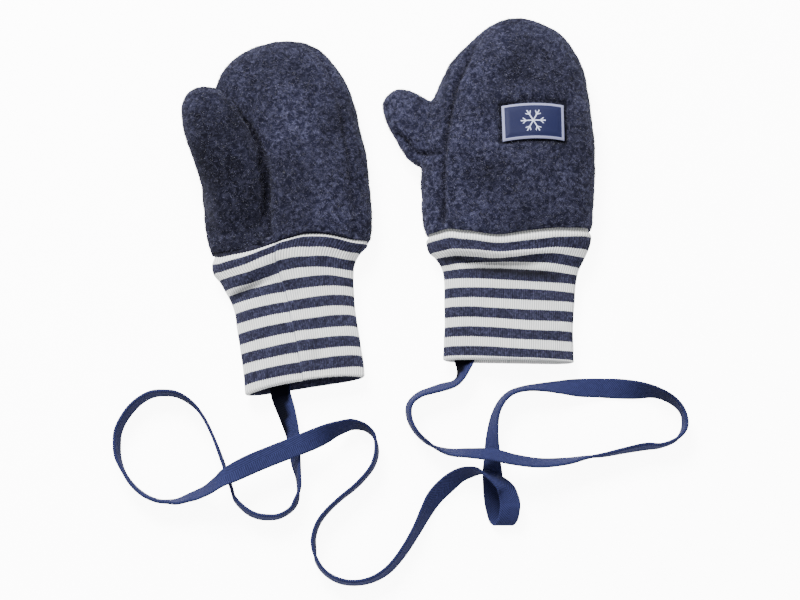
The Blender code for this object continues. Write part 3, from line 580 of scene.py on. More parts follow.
def fleece_skin(side, hand_table, thumb_table):
    """One even skin over the hand and its thumb, open along the joint line."""
    hand = closed_tube(f"{side}_fleece", hand_table, -0.4, 150, side == "left")
    thumb = closed_tube(f"{side}_thumb_form", thumb_table, 0.0, 90)

    def add_thumb(mesh):
        mesh.from_mesh(thumb.data)
        bmesh.ops.remove_doubles(mesh, verts=mesh.verts, dist=0.00001)
        bmesh.ops.recalc_face_normals(mesh, faces=mesh.faces)

    reworked(hand, add_thumb)
    bpy.data.objects.remove(thumb, do_unlink=True)
    remesh = hand.modifiers.new("one skin", "REMESH")
    remesh.mode, remesh.voxel_size = "VOXEL", VOXEL
    bake(hand)
    points = smoothed(read_mesh(hand)[0], read_edges(hand), 5)
    points[:, 1] -= joint_line(side, points)
    write_points(hand, points)
    reworked(hand, open_at_joint)
    points, _ = read_mesh(hand)
    by_the_rim = smoothstep((5.5 - points[:, 1]) / 3.0)[:, None] * [1.0, 0.0, 1.0]
    points += by_the_rim * (smoothed(points, read_edges(hand), 14) - points)
    points[:, 1] += joint_line(side, points)
    write_points(hand, points)
    print(f"{side} fleece skin: {len(hand.data.polygons)} faces")
    return hand


left_fleece = fleece_skin("left", LEFT_HAND, LEFT_THUMB)
right_fleece = fleece_skin("right", RIGHT_HAND, RIGHT_THUMB)

# %% [markdown]
# ## The fleece: seams, lumps and its inner side
# A seam is the line where two cut pieces are sewn edge to edge, and the thread pulls a soft valley there.
# Every seam is a curve on the form, and each point of the skin sinks by how near it is to its nearest seam.
# Small puckers run along the valley where the stitches hold. Then come the lumps and the pile. Single
# points that the joint has turned over are dissolved, and a Solidify modifier adds the inner side of the
# cloth, which shows through the open cuff. Each point also keeps how bright its wool is drawn: painted
# shade in the seams and where the skin dips, soft random patches a little paler or darker, and painted
# light and shade on the thumbs and at listed spots.

# %% Seams of the two mittens
def form_line(table, turn, pressed=False):
    """The curve along a form at one turn."""
    return form(table, [turn], np.linspace(0.0, len(table) - 1, 260), 0.0, pressed)[:, 0]


def plan_line(rows):
    """A smooth curve through rows of x, y, z."""
    return between_rows(rows, np.linspace(0, len(rows) - 1, 160))


CREASE = [
    (-90.0, 103.5, 20.0), (-87.0, 100.0, 21.0), (-78.2, 87.5, 22.0), (-72.8, 78.3, 22.0), (-70.0, 70.8, 21.0),
    (-68.5, 64.3, 20.0), (-67.0, 57.7, 19.5), (-66.1, 49.1, 19.0), (-65.5, 38.9, 18.5), (-65.1, 26.1, 18.0),
]
BACK_SEAM = [
    (52.0, 143.5, 10.0), (44.5, 137.5, 11.0), (38.2, 130.0, 12.5), (33.2, 118.7, 17.0), (28.2, 106.7, 20.0),
    (25.7, 96.1, 21.5), (23.5, 83.0, 22.0), (22.4, 74.9, 22.0), (21.6, 68.9, 22.0), (21.5, 53.5, 21.5),
    (21.4, 38.3, 20.5), (21.4, 24.3, 19.0),
]
THUMB_SEAM = [
    (-4.0, 85.6, 8.0), (0.0, 82.1, 9.0), (5.0, 77.1, 13.0), (8.0, 73.5, 16.0), (14.0, 71.9, 18.5),
    (20.5, 71.3, 20.0),
]
# the dark of each seam is painted shade in its valley
SEAMS = {  # curve, depth and width of its valley, how dark its wool is; a curve drawn in plan is laid on the
    "left": [  # skin first and begins slowly, over so many millimetres
        (form_line(LEFT_HAND, 40.0, pressed=True), 1.2, 2.2, 0.30, None),
        (form_line(LEFT_HAND, 220.0, pressed=True), 1.3, 1.6, 0.45, None),
        (plan_line(CREASE), 2.2, 2.1, 0.76, 9.0),
    ],
    "right": [
        (plan_line(BACK_SEAM), 2.2, 1.9, 0.84, 36.0),
        (form_line(RIGHT_HAND, -40.0), 1.3, 1.6, 0.45, None),
        (plan_line(THUMB_SEAM), 1.9, 1.5, 0.80, 9.0),
    ],
}
TONE = {"left": 0.90, "right": 1.0}
LUMPS, PILE = [(15.0, 0.0, 0.55), (6.5, 3.3, 0.30)], [(2.6, 7.7, 0.16), (1.5, 1.9, 0.10)]
PATCHES = [(19.0, 8.8, 0.34), (9.0, 4.1, 0.18), (4.2, 2.9, 0.09)]  # soft paler and darker places of the wool
LIGHT_AND_SHADE_SPOTS = {  # painted light and shade: plan point, reach and how much paler or darker the wool is drawn there
    "left": [
        (-29, 88, 8, -0.14), (-28, 61, 8, -0.14), (-58, 90, 12, 0.12), (-48, 40, 12, 0.13),
        (-41, 59, 10, -0.05), (-90, 82, 13, -0.10), (-83, 46, 12, 0.11),
    ],
    "right": [
        (60, 116, 13, -0.24), (50, 93, 9, -0.1), (57, 56, 14, -0.13), (32, 109, 9, 0.14),
        (81, 43, 12, 0.13), (31, 51, 8, 0.08), (87, 82, 9, -0.07),
    ],
}


def laid_on(line, points, normals):
    """The curve lifted or lowered on to the skin: each sample takes the height of the nearest upper point."""
    upper = points[normals[:, 2] > 0.2]
    low, high = line[:, :2].min(axis=0) - 3.0, line[:, :2].max(axis=0) + 3.0
    upper = upper[np.all((upper[:, :2] > low) & (upper[:, :2] < high), axis=-1)]
    index = np.argmin(np.sum((line[:, None, :2] - upper[None, :, :2]) ** 2, axis=-1), axis=-1)
    return np.column_stack([line[:, :2], upper[index, 2]])


def nearest(points, line):
    """Each point's distance to a curve and how far along it that is, by its nearest sample."""
    gone, square, where = gone_along(line), np.empty(len(points)), np.empty(len(points))
    for start in range(0, len(points), 8000):
        part = slice(start, start + 8000)
        squares = np.sum((points[part, None] - line[None]) ** 2, axis=-1)
        square[part], where[part] = squares.min(axis=-1), gone[np.argmin(squares, axis=-1)]
    return np.sqrt(square), where


def seam_valleys(side, points, normals, clear):
    """How deep each point sinks into a seam, and how much painted shade its wool gets there."""
    sink, seam_shade = np.zeros(len(points)), np.zeros(len(points))
    for line, depth, wide, dark, begin in SEAMS[side]:
        line = laid_on(line, points, normals) if begin else line
        distance, gone = nearest(points, line)
        fade = smoothstep(gone / begin) if begin else 1.0
        pucker = 1.0 + 0.12 * np.sin(gone * 2.0 * np.pi / 3.6) * bell(distance, 2.2)
        valley = (depth * bell(distance, wide) * pucker - 0.4 * bell(distance - 4.4, 2.2)) * fade
        sink = np.maximum(sink, valley * clear) + np.minimum(valley, 0.0)
        # painted shade: the wool along each seam valley and the thumb's crease is drawn darker
        seam_shade = np.maximum(seam_shade, dark * fade * bell(distance, 0.65 * wide) * clear)
    return sink, seam_shade


def thumb_light_and_shade(side, points):
    """Painted light and shade on the thumb: the right one paler, the left one darker, by a smooth step over
    its edge.
    """
    x, y, z = points.T
    if side == "right":
        return 0.20 * smoothstep((24.0 - x) / 14.0)
    ys, xs = np.array(PRESS_EDGE).T
    inside = smoothstep((np.interp(y, ys, xs) + 4.0 - x) / 8.0) * (1.0 - smoothstep((y - 100.0) / 12.0))
    return -0.23 * inside * smoothstep((z - 6.0) / 3.0)


def wool_shade(side, hand, clear, seam_shade):
    """How bright the wool is drawn: its tone, with painted light and shade, and painted shade in dips and
    seams.
    """
    points, normals = read_mesh(hand)
    dip = np.sum((smoothed(points, read_edges(hand), 24) - points) * normals, axis=-1)
    # painted shade where the skin dips, and along the seams
    hollow_shade = np.maximum(0.75 * smoothstep((dip - 0.10) / 0.8) * clear, seam_shade)
    tone = wool_layers(points, PATCHES, TONE[side] + thumb_light_and_shade(side, points))
    # painted light and shade at listed spots of the wool
    for x, y, reach, much in LIGHT_AND_SHADE_SPOTS[side]:
        tone += much * np.exp(-np.sum((points[:, :2] - [x, y]) ** 2, axis=-1) / reach**2)
    shade = tone * (1.0 - 0.78 * hollow_shade)
    # painted shade round the label's edge
    return shade * (1.0 - 0.6 * label_edge_shade(points)) if side == "right" else shade


def felted(side, hand):
    """Sink the seams, roll the edge in at the joint, add lumps and pile, and keep it above the table."""
    points, normals = read_mesh(hand)
    from_joint = points[:, 1] - joint_line(side, points)
    clear = smoothstep((from_joint - 0.5) / 4.0)
    sink, seam_shade = seam_valleys(side, points, normals, clear)
    sink += 0.7 * bell(from_joint, 1.2)
    rise = wool_layers(points, LUMPS) + wool_layers(points, PILE)
    free = smoothstep((points[:, 2] - 0.3) / 2.5)
    points += normals * (rise * free - sink)[:, None]
    if side == "right":
        points[:, 2] -= label_hollow(points)
    points[:, 2] = np.maximum(points[:, 2], 0.0)
    write_points(hand, points)
    on_top = points[:, 2] > JOINT_RING[side][5] + 3.0
    turned_over = (from_joint < 3.0) & on_top & (read_mesh(hand)[1][:, 2] < 0.1)

    def take_out(mesh):
        mesh.verts.ensure_lookup_table()
        bmesh.ops.dissolve_verts(mesh, verts=[mesh.verts[int(k)] for k in np.flatnonzero(turned_over)])

    reworked(hand, take_out)
    write_shade(hand, wool_shade(side, hand, clear[~turned_over], seam_shade[~turned_over]))
    thicken(hand, FLEECE * MM)
    print(f"{side} fleece: {sum(len(p.vertices) - 2 for p in hand.data.polygons)} triangles")


# %% [markdown]
# ## The label's place
# A woven label is sewn to the back of the right mitten by its four sides. Its stiff edge presses the fleece
# down, so it sits in a shallow hollow with a dark line round it. The hollow is a smooth function of the
# distance to the label's outline, and the dark line is painted shade on the wool round the label's edge.

# %% Label place and hollow
LABEL_CORNERS = [(51.2, 75.2), (82.1, 76.6), (82.0, 95.2), (50.7, 93.9)]  # from lower left, anticlockwise
LABEL_BOW = 1.2  # how far its long edges bow up
LABEL_MIDDLE, LABEL_HALF = (66.5, 85.4), (15.6, 9.35)
LABEL_LEFT, LABEL_LONG, LABEL_LOW = 50.9, 31.1, 76.0  # left end, length and height of its lower edge
LABEL_SLOPE, LABEL_RISE = 0.045, 9.3  # slope of that edge, and how far over it the middle line runs


def bowed(s):
    """The bow at a share of the label's length: a parabola, 0 at both ends."""
    return LABEL_BOW * (1.0 - (2.0 * s - 1.0) ** 2)


def label_plan(s, t):
    """A bilinear blend of the four corners, with the long edges bowed up."""
    low_left, low_right, up_right, up_left = (np.array(c) for c in LABEL_CORNERS)
    s, t = s[..., None], t[..., None]
    plan = (1 - t) * ((1 - s) * low_left + s * low_right) + t * ((1 - s) * up_left + s * up_right)
    plan[..., 1] += bowed(s[..., 0])
    return plan


def on_the_back(points):
    """1 on the upper side of the hand, 0 on its lower side."""
    return smoothstep((points[:, 2] - 14.0) / 3.0)


def label_hollow(points):
    """Depth of the hollow: full on the label, with a groove round it, and nothing from 4.5 beyond it on."""
    x, y, _ = points.T
    low = LABEL_LOW + LABEL_SLOPE * (x - 51.0) + bowed(np.clip((x - LABEL_LEFT) / LABEL_LONG, 0, 1))
    out_x = np.abs(x - LABEL_MIDDLE[0]) - LABEL_HALF[0]
    out_y = np.abs(y - low - LABEL_RISE) - LABEL_HALF[1]
    away = np.hypot(np.maximum(out_x, 0), np.maximum(out_y, 0)) + np.minimum(np.maximum(out_x, out_y), 0)
    return on_the_back(points) * (0.9 * (1.0 - smoothstep((away - 0.5) / 4.0)) + 0.9 * bell(away - 0.6, 1.5))


def label_edge_shade(points):
    """1 where the wool under the label's edge and just beyond it is painted darker as shade, 0 elsewhere."""
    away = np.max(np.abs(points[:, :2] - LABEL_MIDDLE) - LABEL_HALF, axis=-1)
    return on_the_back(points) * smoothstep(away + 2.0) * (1.0 - smoothstep((away - 0.8) / 1.8))


felted("left", left_fleece)
felted("right", right_fleece)

# %% [markdown]
# ## Shader helpers
# A material is a small tree of nodes, and its sums read best as sums. A Wire is a value that comes out of a
# node, and every sum written with it adds one Math node. An effect that several materials share is a node
# group with named sockets, made with interface.new_socket.

# %% Node helpers
TURN = 2.0 * np.pi


def node(tree, kind, inputs=None, **settings):
    """A node of that kind: a wire in inputs is joined, anything else is set."""
    made = tree.nodes.new(kind)
    for key, value in settings.items():
        setattr(made, key, value)
    for key, value in (inputs or {}).items():
        if isinstance(value, Wire):
            tree.links.new(value.socket, made.inputs[key])
        else:
            made.inputs[key].default_value = value
    return made


def wire(tree, kind, inputs=None, output=0, **settings):
    """One output of a new node."""
    return Wire(tree, node(tree, kind, inputs, **settings).outputs[output])


class Wire:
    """A value that comes out of a node: each sum done with it adds one Math node to its tree."""

    def __init__(self, tree, socket):
        self.tree, self.socket = tree, socket

    def math(self, operation, *others):
        """The result of one Math node on this value and the others."""
        return wire(self.tree, "ShaderNodeMath", dict(enumerate((self, *others))), operation=operation)

    def __add__(self, other):
        return self.math("ADD", other)

    def __sub__(self, other):
        return self.math("SUBTRACT", other)

    def __rsub__(self, other):
        return wire(self.tree, "ShaderNodeMath", {0: other, 1: self}, operation="SUBTRACT")

    def __mul__(self, other):
        return self.math("MULTIPLY", other)

    def __truediv__(self, other):
        return self.math("DIVIDE", other)

    def __rtruediv__(self, other):
        return wire(self.tree, "ShaderNodeMath", {0: other, 1: self}, operation="DIVIDE")

    def __lt__(self, other):
        return self.math("LESS_THAN", other)

    def __gt__(self, other):
        return self.math("GREATER_THAN", other)

    def __abs__(self):
        return self.math("ABSOLUTE")

    def join(self, socket):
        """Link the value to a socket."""
        self.tree.links.new(self.socket, socket)


def ramp(value, low, high, start=0.0, end=1.0):
    """A straight ramp: start up to low, end from high on."""
    return wire(value.tree, "ShaderNodeMapRange", {0: value, 1: low, 2: high, 3: start, 4: end})


def blend(factor, low, high):
    """The colour of a Mix node between low and high."""
    return wire(factor.tree, "ShaderNodeMix", {0: factor, 6: low, 7: high}, 2, data_type="RGBA")


def noise(vector, scale, detail=2.0, distortion=0.0, roughness=0.5):
    """The value of a 3D noise."""
    values = {"Vector": vector, "Scale": scale, "Detail": detail, "Roughness": roughness}
    return wire(vector.tree, "ShaderNodeTexNoise", {**values, "Distortion": distortion})


def object_place(tree):
    """The place on the object, in metres."""
    return wire(tree, "ShaderNodeTexCoord", output="Object")


def cloth_place(tree):
    """Across and along the cloth: the two parts of the piece's own UV map."""
    parts = node(tree, "ShaderNodeSeparateXYZ", {0: wire(tree, "ShaderNodeUVMap", uv_map="cloth")})
    return Wire(tree, parts.outputs[0]), Wire(tree, parts.outputs[1])


def shaded(colour):
    """The colour, dimmed by the shade kept in the mesh."""
    shade = wire(colour.tree, "ShaderNodeAttribute", output="Fac", attribute_name="shade")
    return wire(colour.tree, "ShaderNodeVectorMath", {0: colour, "Scale": shade}, operation="SCALE")


def dress(shader, colour, height, strength, distance):
    """Give a shader its colour and its relief."""
    bump = {"Height": height, "Strength": strength, "Distance": distance}
    colour.join(shader.inputs["Base Color"])
    wire(colour.tree, "ShaderNodeBump", bump).join(shader.inputs["Normal"])


def group(name, inputs, outputs):
    """An empty node group with its sockets: the wires that come in, and its output node."""
    tree = bpy.data.node_groups.new(name, "ShaderNodeTree")
    for direction, sockets in (("INPUT", inputs), ("OUTPUT", outputs)):
        for label, kind, value in sockets:
            socket = tree.interface.new_socket(label, in_out=direction, socket_type=f"NodeSocket{kind}")
            if value is not None:
                socket.default_value = value
    given = tree.nodes.new("NodeGroupInput")
    return [Wire(tree, socket) for socket in given.outputs[:len(inputs)]], tree.nodes.new("NodeGroupOutput")


def material(name, **values):
    """A material with its Principled shader, whose plain numbers are set on its own sockets."""
    made = bpy.data.materials.new(name)
    made.use_nodes = True
    shader = made.node_tree.nodes["Principled BSDF"]
    for key, value in values.items():
        shader.inputs[key.replace("_", " ")].default_value = value
    return made, made.node_tree, shader


def rgb(red, green, blue):
    """A colour given as it looks on a screen, 0 to 255, turned into the linear one that Blender mixes."""
    c = np.array([red, green, blue]) / 255.0
    return (*np.where(c <= 0.04045, c / 12.92, ((c + 0.055) / 1.055) ** 2.4).tolist(), 1.0)


# %% [markdown]
# ## Heather wool
# Heather yarn is spun from fibres dyed in two or three shades, so close up it is a tangle of dark and pale
# curls. A ridge of a distorted noise, that is its distance from one half, gives thin curly lines; two sets
# of them at different sizes lie over soft clouds of lighter and darker blue. The group also puts out a
# height, so the same curls stand up a little in the light.

# %% Group for heather wool
(vector, size, dark, ground, fleck, flecks), heather = group(
    "heather wool",
    [("Vector", "Vector", None), ("Size", "Float", 1.0), ("Dark", "Color", (0, 0, 0, 1)),
     ("Ground", "Color", (0, 0, 0, 1)), ("Fleck", "Color", (1, 1, 1, 1)), ("Flecks", "Float", 0.5)],
    [("Color", "Color", None), ("Height", "Float", None)],
)


def curls(scale, width):
    """Thin curly lines: 1 on the line where a distorted noise is one half, 0 from width away."""
    return ramp(abs(noise(vector, scale / size, 2.0, 1.6, 0.55) - 0.5), 0.0, width, 1.0, 0.0)


clouds = noise(vector, 210.0 / size, 3.0, 0.4, 0.6)
patches = noise(vector, 430.0 / size, 3.0, 0.8, 0.6)
specks = noise(vector, 1500.0 / size, 2.0, 0.0, 0.6)
tangle = curls(740.0, 0.05).math("MAXIMUM", curls(1350.0, 0.07) * 0.8)
amount = tangle * ramp(patches, 0.42, 0.66) * flecks
depth = ramp(clouds, 0.24, 0.76) * 0.8 + specks * 0.3
blend(amount, blend(depth, dark, ground), fleck).join(heather.inputs["Color"])
(tangle * 0.45 + specks * 0.6 + patches * 0.7).join(heather.inputs["Height"])


def heather_wool(place, **values):
    """The group's colour and height, with the numbers and colours in values set on its own sockets."""
    wool = node(place.tree, "ShaderNodeGroup", {"Vector": place, **values}, node_tree=vector.tree)
    return Wire(place.tree, wool.outputs["Color"]), Wire(place.tree, wool.outputs["Height"])


print("heather wool:", len(vector.tree.nodes), "nodes")

# %% [markdown]
# ## Fleece material
# Felted wool is matt, with the soft sheen of loose fibres at grazing angles. Its relief comes from the same
# curls as its colour, and the shade kept in the mesh darkens the seams.

# %% Fleece material
fleece_finish, tree, shader = material(
    "boiled_wool", Roughness=0.95, Specular_IOR_Level=0.06, Sheen_Weight=0.05, Sheen_Roughness=0.5,
    Sheen_Tint=rgb(150, 152, 175),
)
wool, height = heather_wool(
    object_place(tree), Size=0.9, Dark=rgb(12, 12, 22), Ground=rgb(21, 22, 38), Fleck=rgb(112, 113, 143),
    Flecks=0.48,
)
dress(shader, shaded(wool), height, 0.5, 0.0008)
for hand in (left_fleece, right_fleece):
    hand.data.materials.clear()
    hand.data.materials.append(fleece_finish)

# %% [markdown]
# ## Loose fibres
# What makes wool look soft is the halo of fibres at its outline. Each fibre here is a needle with three
# sides and one bend. A few thousand start at random places of the skin, chosen by area, lean mostly along
# the cloth and curl off it. All of them are one mesh, made in one go from whole arrays.

# %% Loose fibres
def fuzz(name, hand, count):
    """Bent needles: a ring of three points at the root, a smaller one at the bend and one point at the tip.

    Solidify keeps the points of the outer side first, so a triangle with all its points in the first half
    lies outside, and only such triangles get fibres.
    """
    mesh = hand.data
    mesh.calc_loop_triangles()
    tris = np.empty(len(mesh.loop_triangles) * 3, int)
    mesh.loop_triangles.foreach_get("vertices", tris)
    tris, (points, _) = tris.reshape(-1, 3), read_mesh(hand)
    a, b, c = (points[tris[:, k]] for k in range(3))
    face_normal = np.cross(b - a, c - a)
    chance = np.linalg.norm(face_normal, axis=-1) / 2 * (tris.max(axis=-1) < len(points) // 2)
    pick = DICE.choice(len(tris), count, p=chance / chance.sum())
    u, v = np.sqrt(DICE.random(count)), DICE.random(count)
    root = (1 - u)[:, None] * a[pick] + (u * (1 - v))[:, None] * b[pick] + (u * v)[:, None] * c[pick]
    normal = unit(face_normal[pick])
    flat = unit(np.cross(normal, unit(DICE.normal(size=(count, 3)))))
    rise = DICE.uniform(0.15, 0.75, (count, 1))
    length = DICE.uniform(0.9, 2.3, (count, 1))
    bend = root + length * 0.5 * unit(flat + rise * normal)
    swing = unit(flat + 0.8 * DICE.normal(size=(count, 3)))
    tip = bend + length * 0.5 * unit(swing + (rise * DICE.uniform(-0.4, 1.2, (count, 1))) * normal)
    tip[:, 2], bend[:, 2] = np.maximum(tip[:, 2], 0.05), np.maximum(bend[:, 2], 0.05)
    side = unit(np.cross(bend - root, normal))
    other = unit(np.cross(bend - root, side))
    spin = np.radians([0.0, 120.0, 240.0])
    ring = np.cos(spin)[None, :, None] * side[:, None] + np.sin(spin)[None, :, None] * other[:, None]
    thin = DICE.uniform(0.045, 0.075, (count, 1, 1))
    root = root - 0.15 * normal
    rings = [root[:, None] + thin * ring, bend[:, None] + 0.7 * thin * ring, tip[:, None]]
    body = np.concatenate(rings, axis=1)
    k, n = np.arange(3), (np.arange(3) + 1) % 3
    lower = np.concatenate([np.stack([k, n, n + 3], -1), np.stack([k, n + 3, k + 3], -1)])
    pattern = np.concatenate([lower, np.stack([k + 3, n + 3, np.full(3, 6)], -1), [[2, 1, 0]]])
    faces = (7 * np.arange(count)[:, None, None] + pattern[None]).reshape(-1, 3)
    print(f"{name}: {len(faces)} triangles")
    return mesh_object(name, body.reshape(-1, 3), faces)


NEEDLES = 15000
left_fuzz, right_fuzz = fuzz("left_fibres", left_fleece, NEEDLES), fuzz("right_fibres", right_fleece, NEEDLES)
fibre_finish, tree, shader = material("loose_fibre", Roughness=0.9, Specular_IOR_Level=0.1, Sheen_Weight=0.2)
mix = ramp(noise(object_place(tree), 900.0, 1.0), 0.38, 0.68)
blend(mix, rgb(12, 12, 24), rgb(80, 82, 110)).join(shader.inputs["Base Color"])
for piece in (left_fuzz, right_fuzz):
    piece.data.materials.append(fibre_finish)
    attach(piece, "root")

# %% Tell the frame about the fleece
for hand, side in ((left_fleece, "left"), (right_fleece, "right")):
    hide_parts(f"{side}_back", f"{side}_palm", f"{side}_thumb_heel")
    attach(hand, "root")

# %% [markdown]
# ## The cuffs
# A cuff is a tube of rib knitted one plain, one purl, folded double at the hem. One grid covers all of it:
# the rows run down the outside, round the folded hem, up the inside and round the joint, so there is no
# edge anywhere. The columns stand at equal steps round the tube, four to a rib, and the ribs are a wave of
# a fifth of a millimetre. How far a row has come down the cloth is kept in the UV map, for the stripes.

# %% Rib tube
RIBS = {"left": 112, "right": 124}
WALE_RISE, SEAM_DIP, TUCK = 0.20, 0.55, 2.7  # of a rib, of the seam, and of the top edge under the fleece
WOBBLE = [(13.0, 5.1, 0.45), (5.0, 2.2, 0.18)]
SEAM_ACROSS = {"left": (-0.17, -0.03), "right": None}  # the lengthwise seam, at the joint and at the hem


def even_turns(table, count):
    """Turns at equal steps of the way round the middle ring, found by reading the way backwards."""
    fine_turns = np.linspace(0.0, 360.0, 4001)
    gone = gone_along(form(table, fine_turns, np.array([len(table) * 0.55]))[0])
    return np.interp(np.arange(count) / count * gone[-1], gone, fine_turns), gone[-1]


# Down the cloth, and how far down the cuff that is as seen from above, at seven places from the left side to
# the right. Where a column gains less than the cloth does, the cloth dips, bunches up or tucks under.
ACROSS_PLACES = (-0.9, 0.9)
COMES_DOWN = {
    "left": [
        (0.0000, 0.000, 0.000, 0.000, 0.000, 0.000, 0.000, 0.000),
        (0.0365, 0.066, 0.045, 0.024, 0.024, 0.030, 0.026, 0.034),
        (0.1067, 0.112, 0.096, 0.072, 0.076, 0.096, 0.096, 0.114),
        (0.1741, 0.164, 0.156, 0.143, 0.140, 0.150, 0.149, 0.162),
        (0.2443, 0.242, 0.238, 0.220, 0.207, 0.210, 0.216, 0.228),
        (0.3117, 0.286, 0.277, 0.276, 0.274, 0.271, 0.268, 0.282),
        (0.3819, 0.362, 0.354, 0.346, 0.343, 0.337, 0.333, 0.334),
        (0.4493, 0.447, 0.435, 0.424, 0.416, 0.403, 0.392, 0.388),
        (0.5195, 0.521, 0.511, 0.497, 0.487, 0.474, 0.460, 0.454),
        (0.5869, 0.601, 0.588, 0.575, 0.562, 0.548, 0.530, 0.518),
        (0.6571, 0.679, 0.665, 0.649, 0.636, 0.624, 0.609, 0.594),
        (0.7245, 0.749, 0.741, 0.724, 0.707, 0.693, 0.677, 0.664),
        (0.7947, 0.817, 0.811, 0.797, 0.785, 0.771, 0.755, 0.738),
        (0.8621, 0.882, 0.878, 0.868, 0.858, 0.843, 0.826, 0.808),
        (0.9323, 0.943, 0.944, 0.941, 0.938, 0.934, 0.922, 0.903),
        (1.0000, 1.000, 1.000, 1.000, 1.000, 1.000, 1.000, 1.000),
    ],
    "right": [
        (0.0000, 0.000, 0.000, 0.000, 0.000, 0.000, 0.000, 0.000),
        (0.0504, 0.060, 0.064, 0.065, 0.070, 0.076, 0.071, 0.062),
        (0.1216, 0.145, 0.146, 0.142, 0.143, 0.147, 0.141, 0.146),
        (0.1901, 0.200, 0.207, 0.210, 0.202, 0.186, 0.178, 0.190),
        (0.2613, 0.262, 0.240, 0.226, 0.220, 0.228, 0.243, 0.259),
        (0.3298, 0.301, 0.292, 0.291, 0.293, 0.301, 0.308, 0.318),
        (0.4010, 0.359, 0.362, 0.370, 0.378, 0.387, 0.392, 0.393),
        (0.4695, 0.431, 0.433, 0.438, 0.444, 0.448, 0.455, 0.464),
        (0.5407, 0.505, 0.505, 0.513, 0.522, 0.529, 0.533, 0.535),
        (0.6092, 0.578, 0.581, 0.591, 0.600, 0.607, 0.610, 0.611),
        (0.6804, 0.655, 0.656, 0.667, 0.678, 0.687, 0.690, 0.690),
        (0.7489, 0.735, 0.734, 0.742, 0.753, 0.764, 0.768, 0.768),
        (0.8201, 0.806, 0.807, 0.817, 0.829, 0.837, 0.840, 0.844),
        (0.8886, 0.885, 0.886, 0.893, 0.905, 0.914, 0.917, 0.920),
        (0.9598, 0.961, 0.964, 0.972, 0.980, 0.983, 0.984, 0.984),
        (1.0000, 1.000, 1.000, 1.000, 1.000, 1.000, 1.000, 1.000),
    ],
}


def come_down(side, share, across):
    """The seen share of the way down: hat functions of the table's rows, times a smooth curve across it."""
    table = np.array(COMES_DOWN[side])
    fine = np.linspace(-0.1, 1.1, 481)
    soft = np.hanning(11) / np.hanning(11).sum()
    hats = (np.interp(fine, table[:, 0], row) for row in np.eye(len(table)))
    hats = (np.convolve(np.pad(hat, 5, mode="edge"), soft, "valid") for hat in hats)
    hats = np.stack([np.interp(share, fine, hat) for hat in hats], axis=-1)
    first, last = ACROSS_PLACES
    places = np.clip((across - first) / (last - first), 0.0, 1.0) * (table.shape[1] - 2)
    gained = between_rows((table[:, 1:] - table[:, :1]).T, places)
    return share[:, None] + hats @ gained.T


def soft_folds(side, share, across):
    """Height of the soft folds in mm: each is a bump or a dip along a slanted line over the cuff."""
    if side == "right":
        full = smoothstep((across + 0.98) / 0.40) * (1.0 - smoothstep((across - 0.20) / 0.60))
        line = 0.012 * np.sin((across + 0.3) * 2.2)
        lip = 1.5 * bell(share - 0.150 - line, 0.045) - 3.0 * full * bell(share - 0.265 - line, 0.045)
        return full * lip + 0.5 * bell(across - 0.4, 0.3) * bell(share - 0.30, 0.06)
    slant = 0.10 * (across + 0.7)
    fold = -1.5 * bell(share - 0.32 + slant, 0.045) * (1.0 - smoothstep((across + 0.55) / 0.5))
    lip = 0.8 * bell(share - 0.21 + slant, 0.05) * (1.0 - smoothstep((across + 0.45) / 0.5))
    dent = -0.9 * bell(share - 0.80, 0.10) * bell(across - 0.28, 0.16)
    return fold + lip + dent


def fold_shade(side, share, across):
    """1 on open cloth and less in the folds, where the nap lies in its own shadow."""
    if side == "right":
        core = 0.78 * bell(share - 0.345 - 0.02 * across, 0.035) * smoothstep((across + 0.75) / 0.35)
        core = core * (1.0 - smoothstep((across - 0.45) / 0.5))
        side_core = 0.60 * bell(share - 0.215, 0.035) * (1.0 - smoothstep((across + 0.75) / 0.35))
        return 1.0 - np.maximum(core, side_core) - 0.18 * bell(share - 0.285, 0.03) * bell(across + 0.1, 0.5)
    core = 0.50 * bell(share - 0.295 + 0.10 * (across + 0.7), 0.035)
    core = core * (1.0 - smoothstep((across + 0.75) / 0.5))
    hem = 0.16 * bell(share - 0.83, 0.10) * bell(across - 0.20, 0.10)
    return 1.0 - core - hem


def two_sides(table, turns, seen):
    """Points of the outer and inner side at shares of the way down the middle, and that way's length.

    Each point lies between two of 300 fine rings, and the inner side is the form drawn in by the wall.
    """
    grid = np.linspace(-0.4, len(table) - 1, 300)
    spots = between_rows(table, grid)
    gone = gone_along((spots[:, :2] + spots[:, 2:4]) / 2)
    joint_at = np.interp(0.0, grid, gone)
    length = gone[-1] - joint_at
    place = np.interp(seen, (gone - joint_at) / length, np.arange(300.0))
    low = np.clip(np.floor(place).astype(int), 0, 298)
    part, column = (place - low)[..., None], np.arange(len(turns))[None, :]
    skins = [form(rows, turns, grid, floor) for rows, floor in ((table, 0.0), (inset(table, RIB), RIB))]
    return *((1 - part) * s[low, column] + part * s[low + 1, column] for s in skins), length


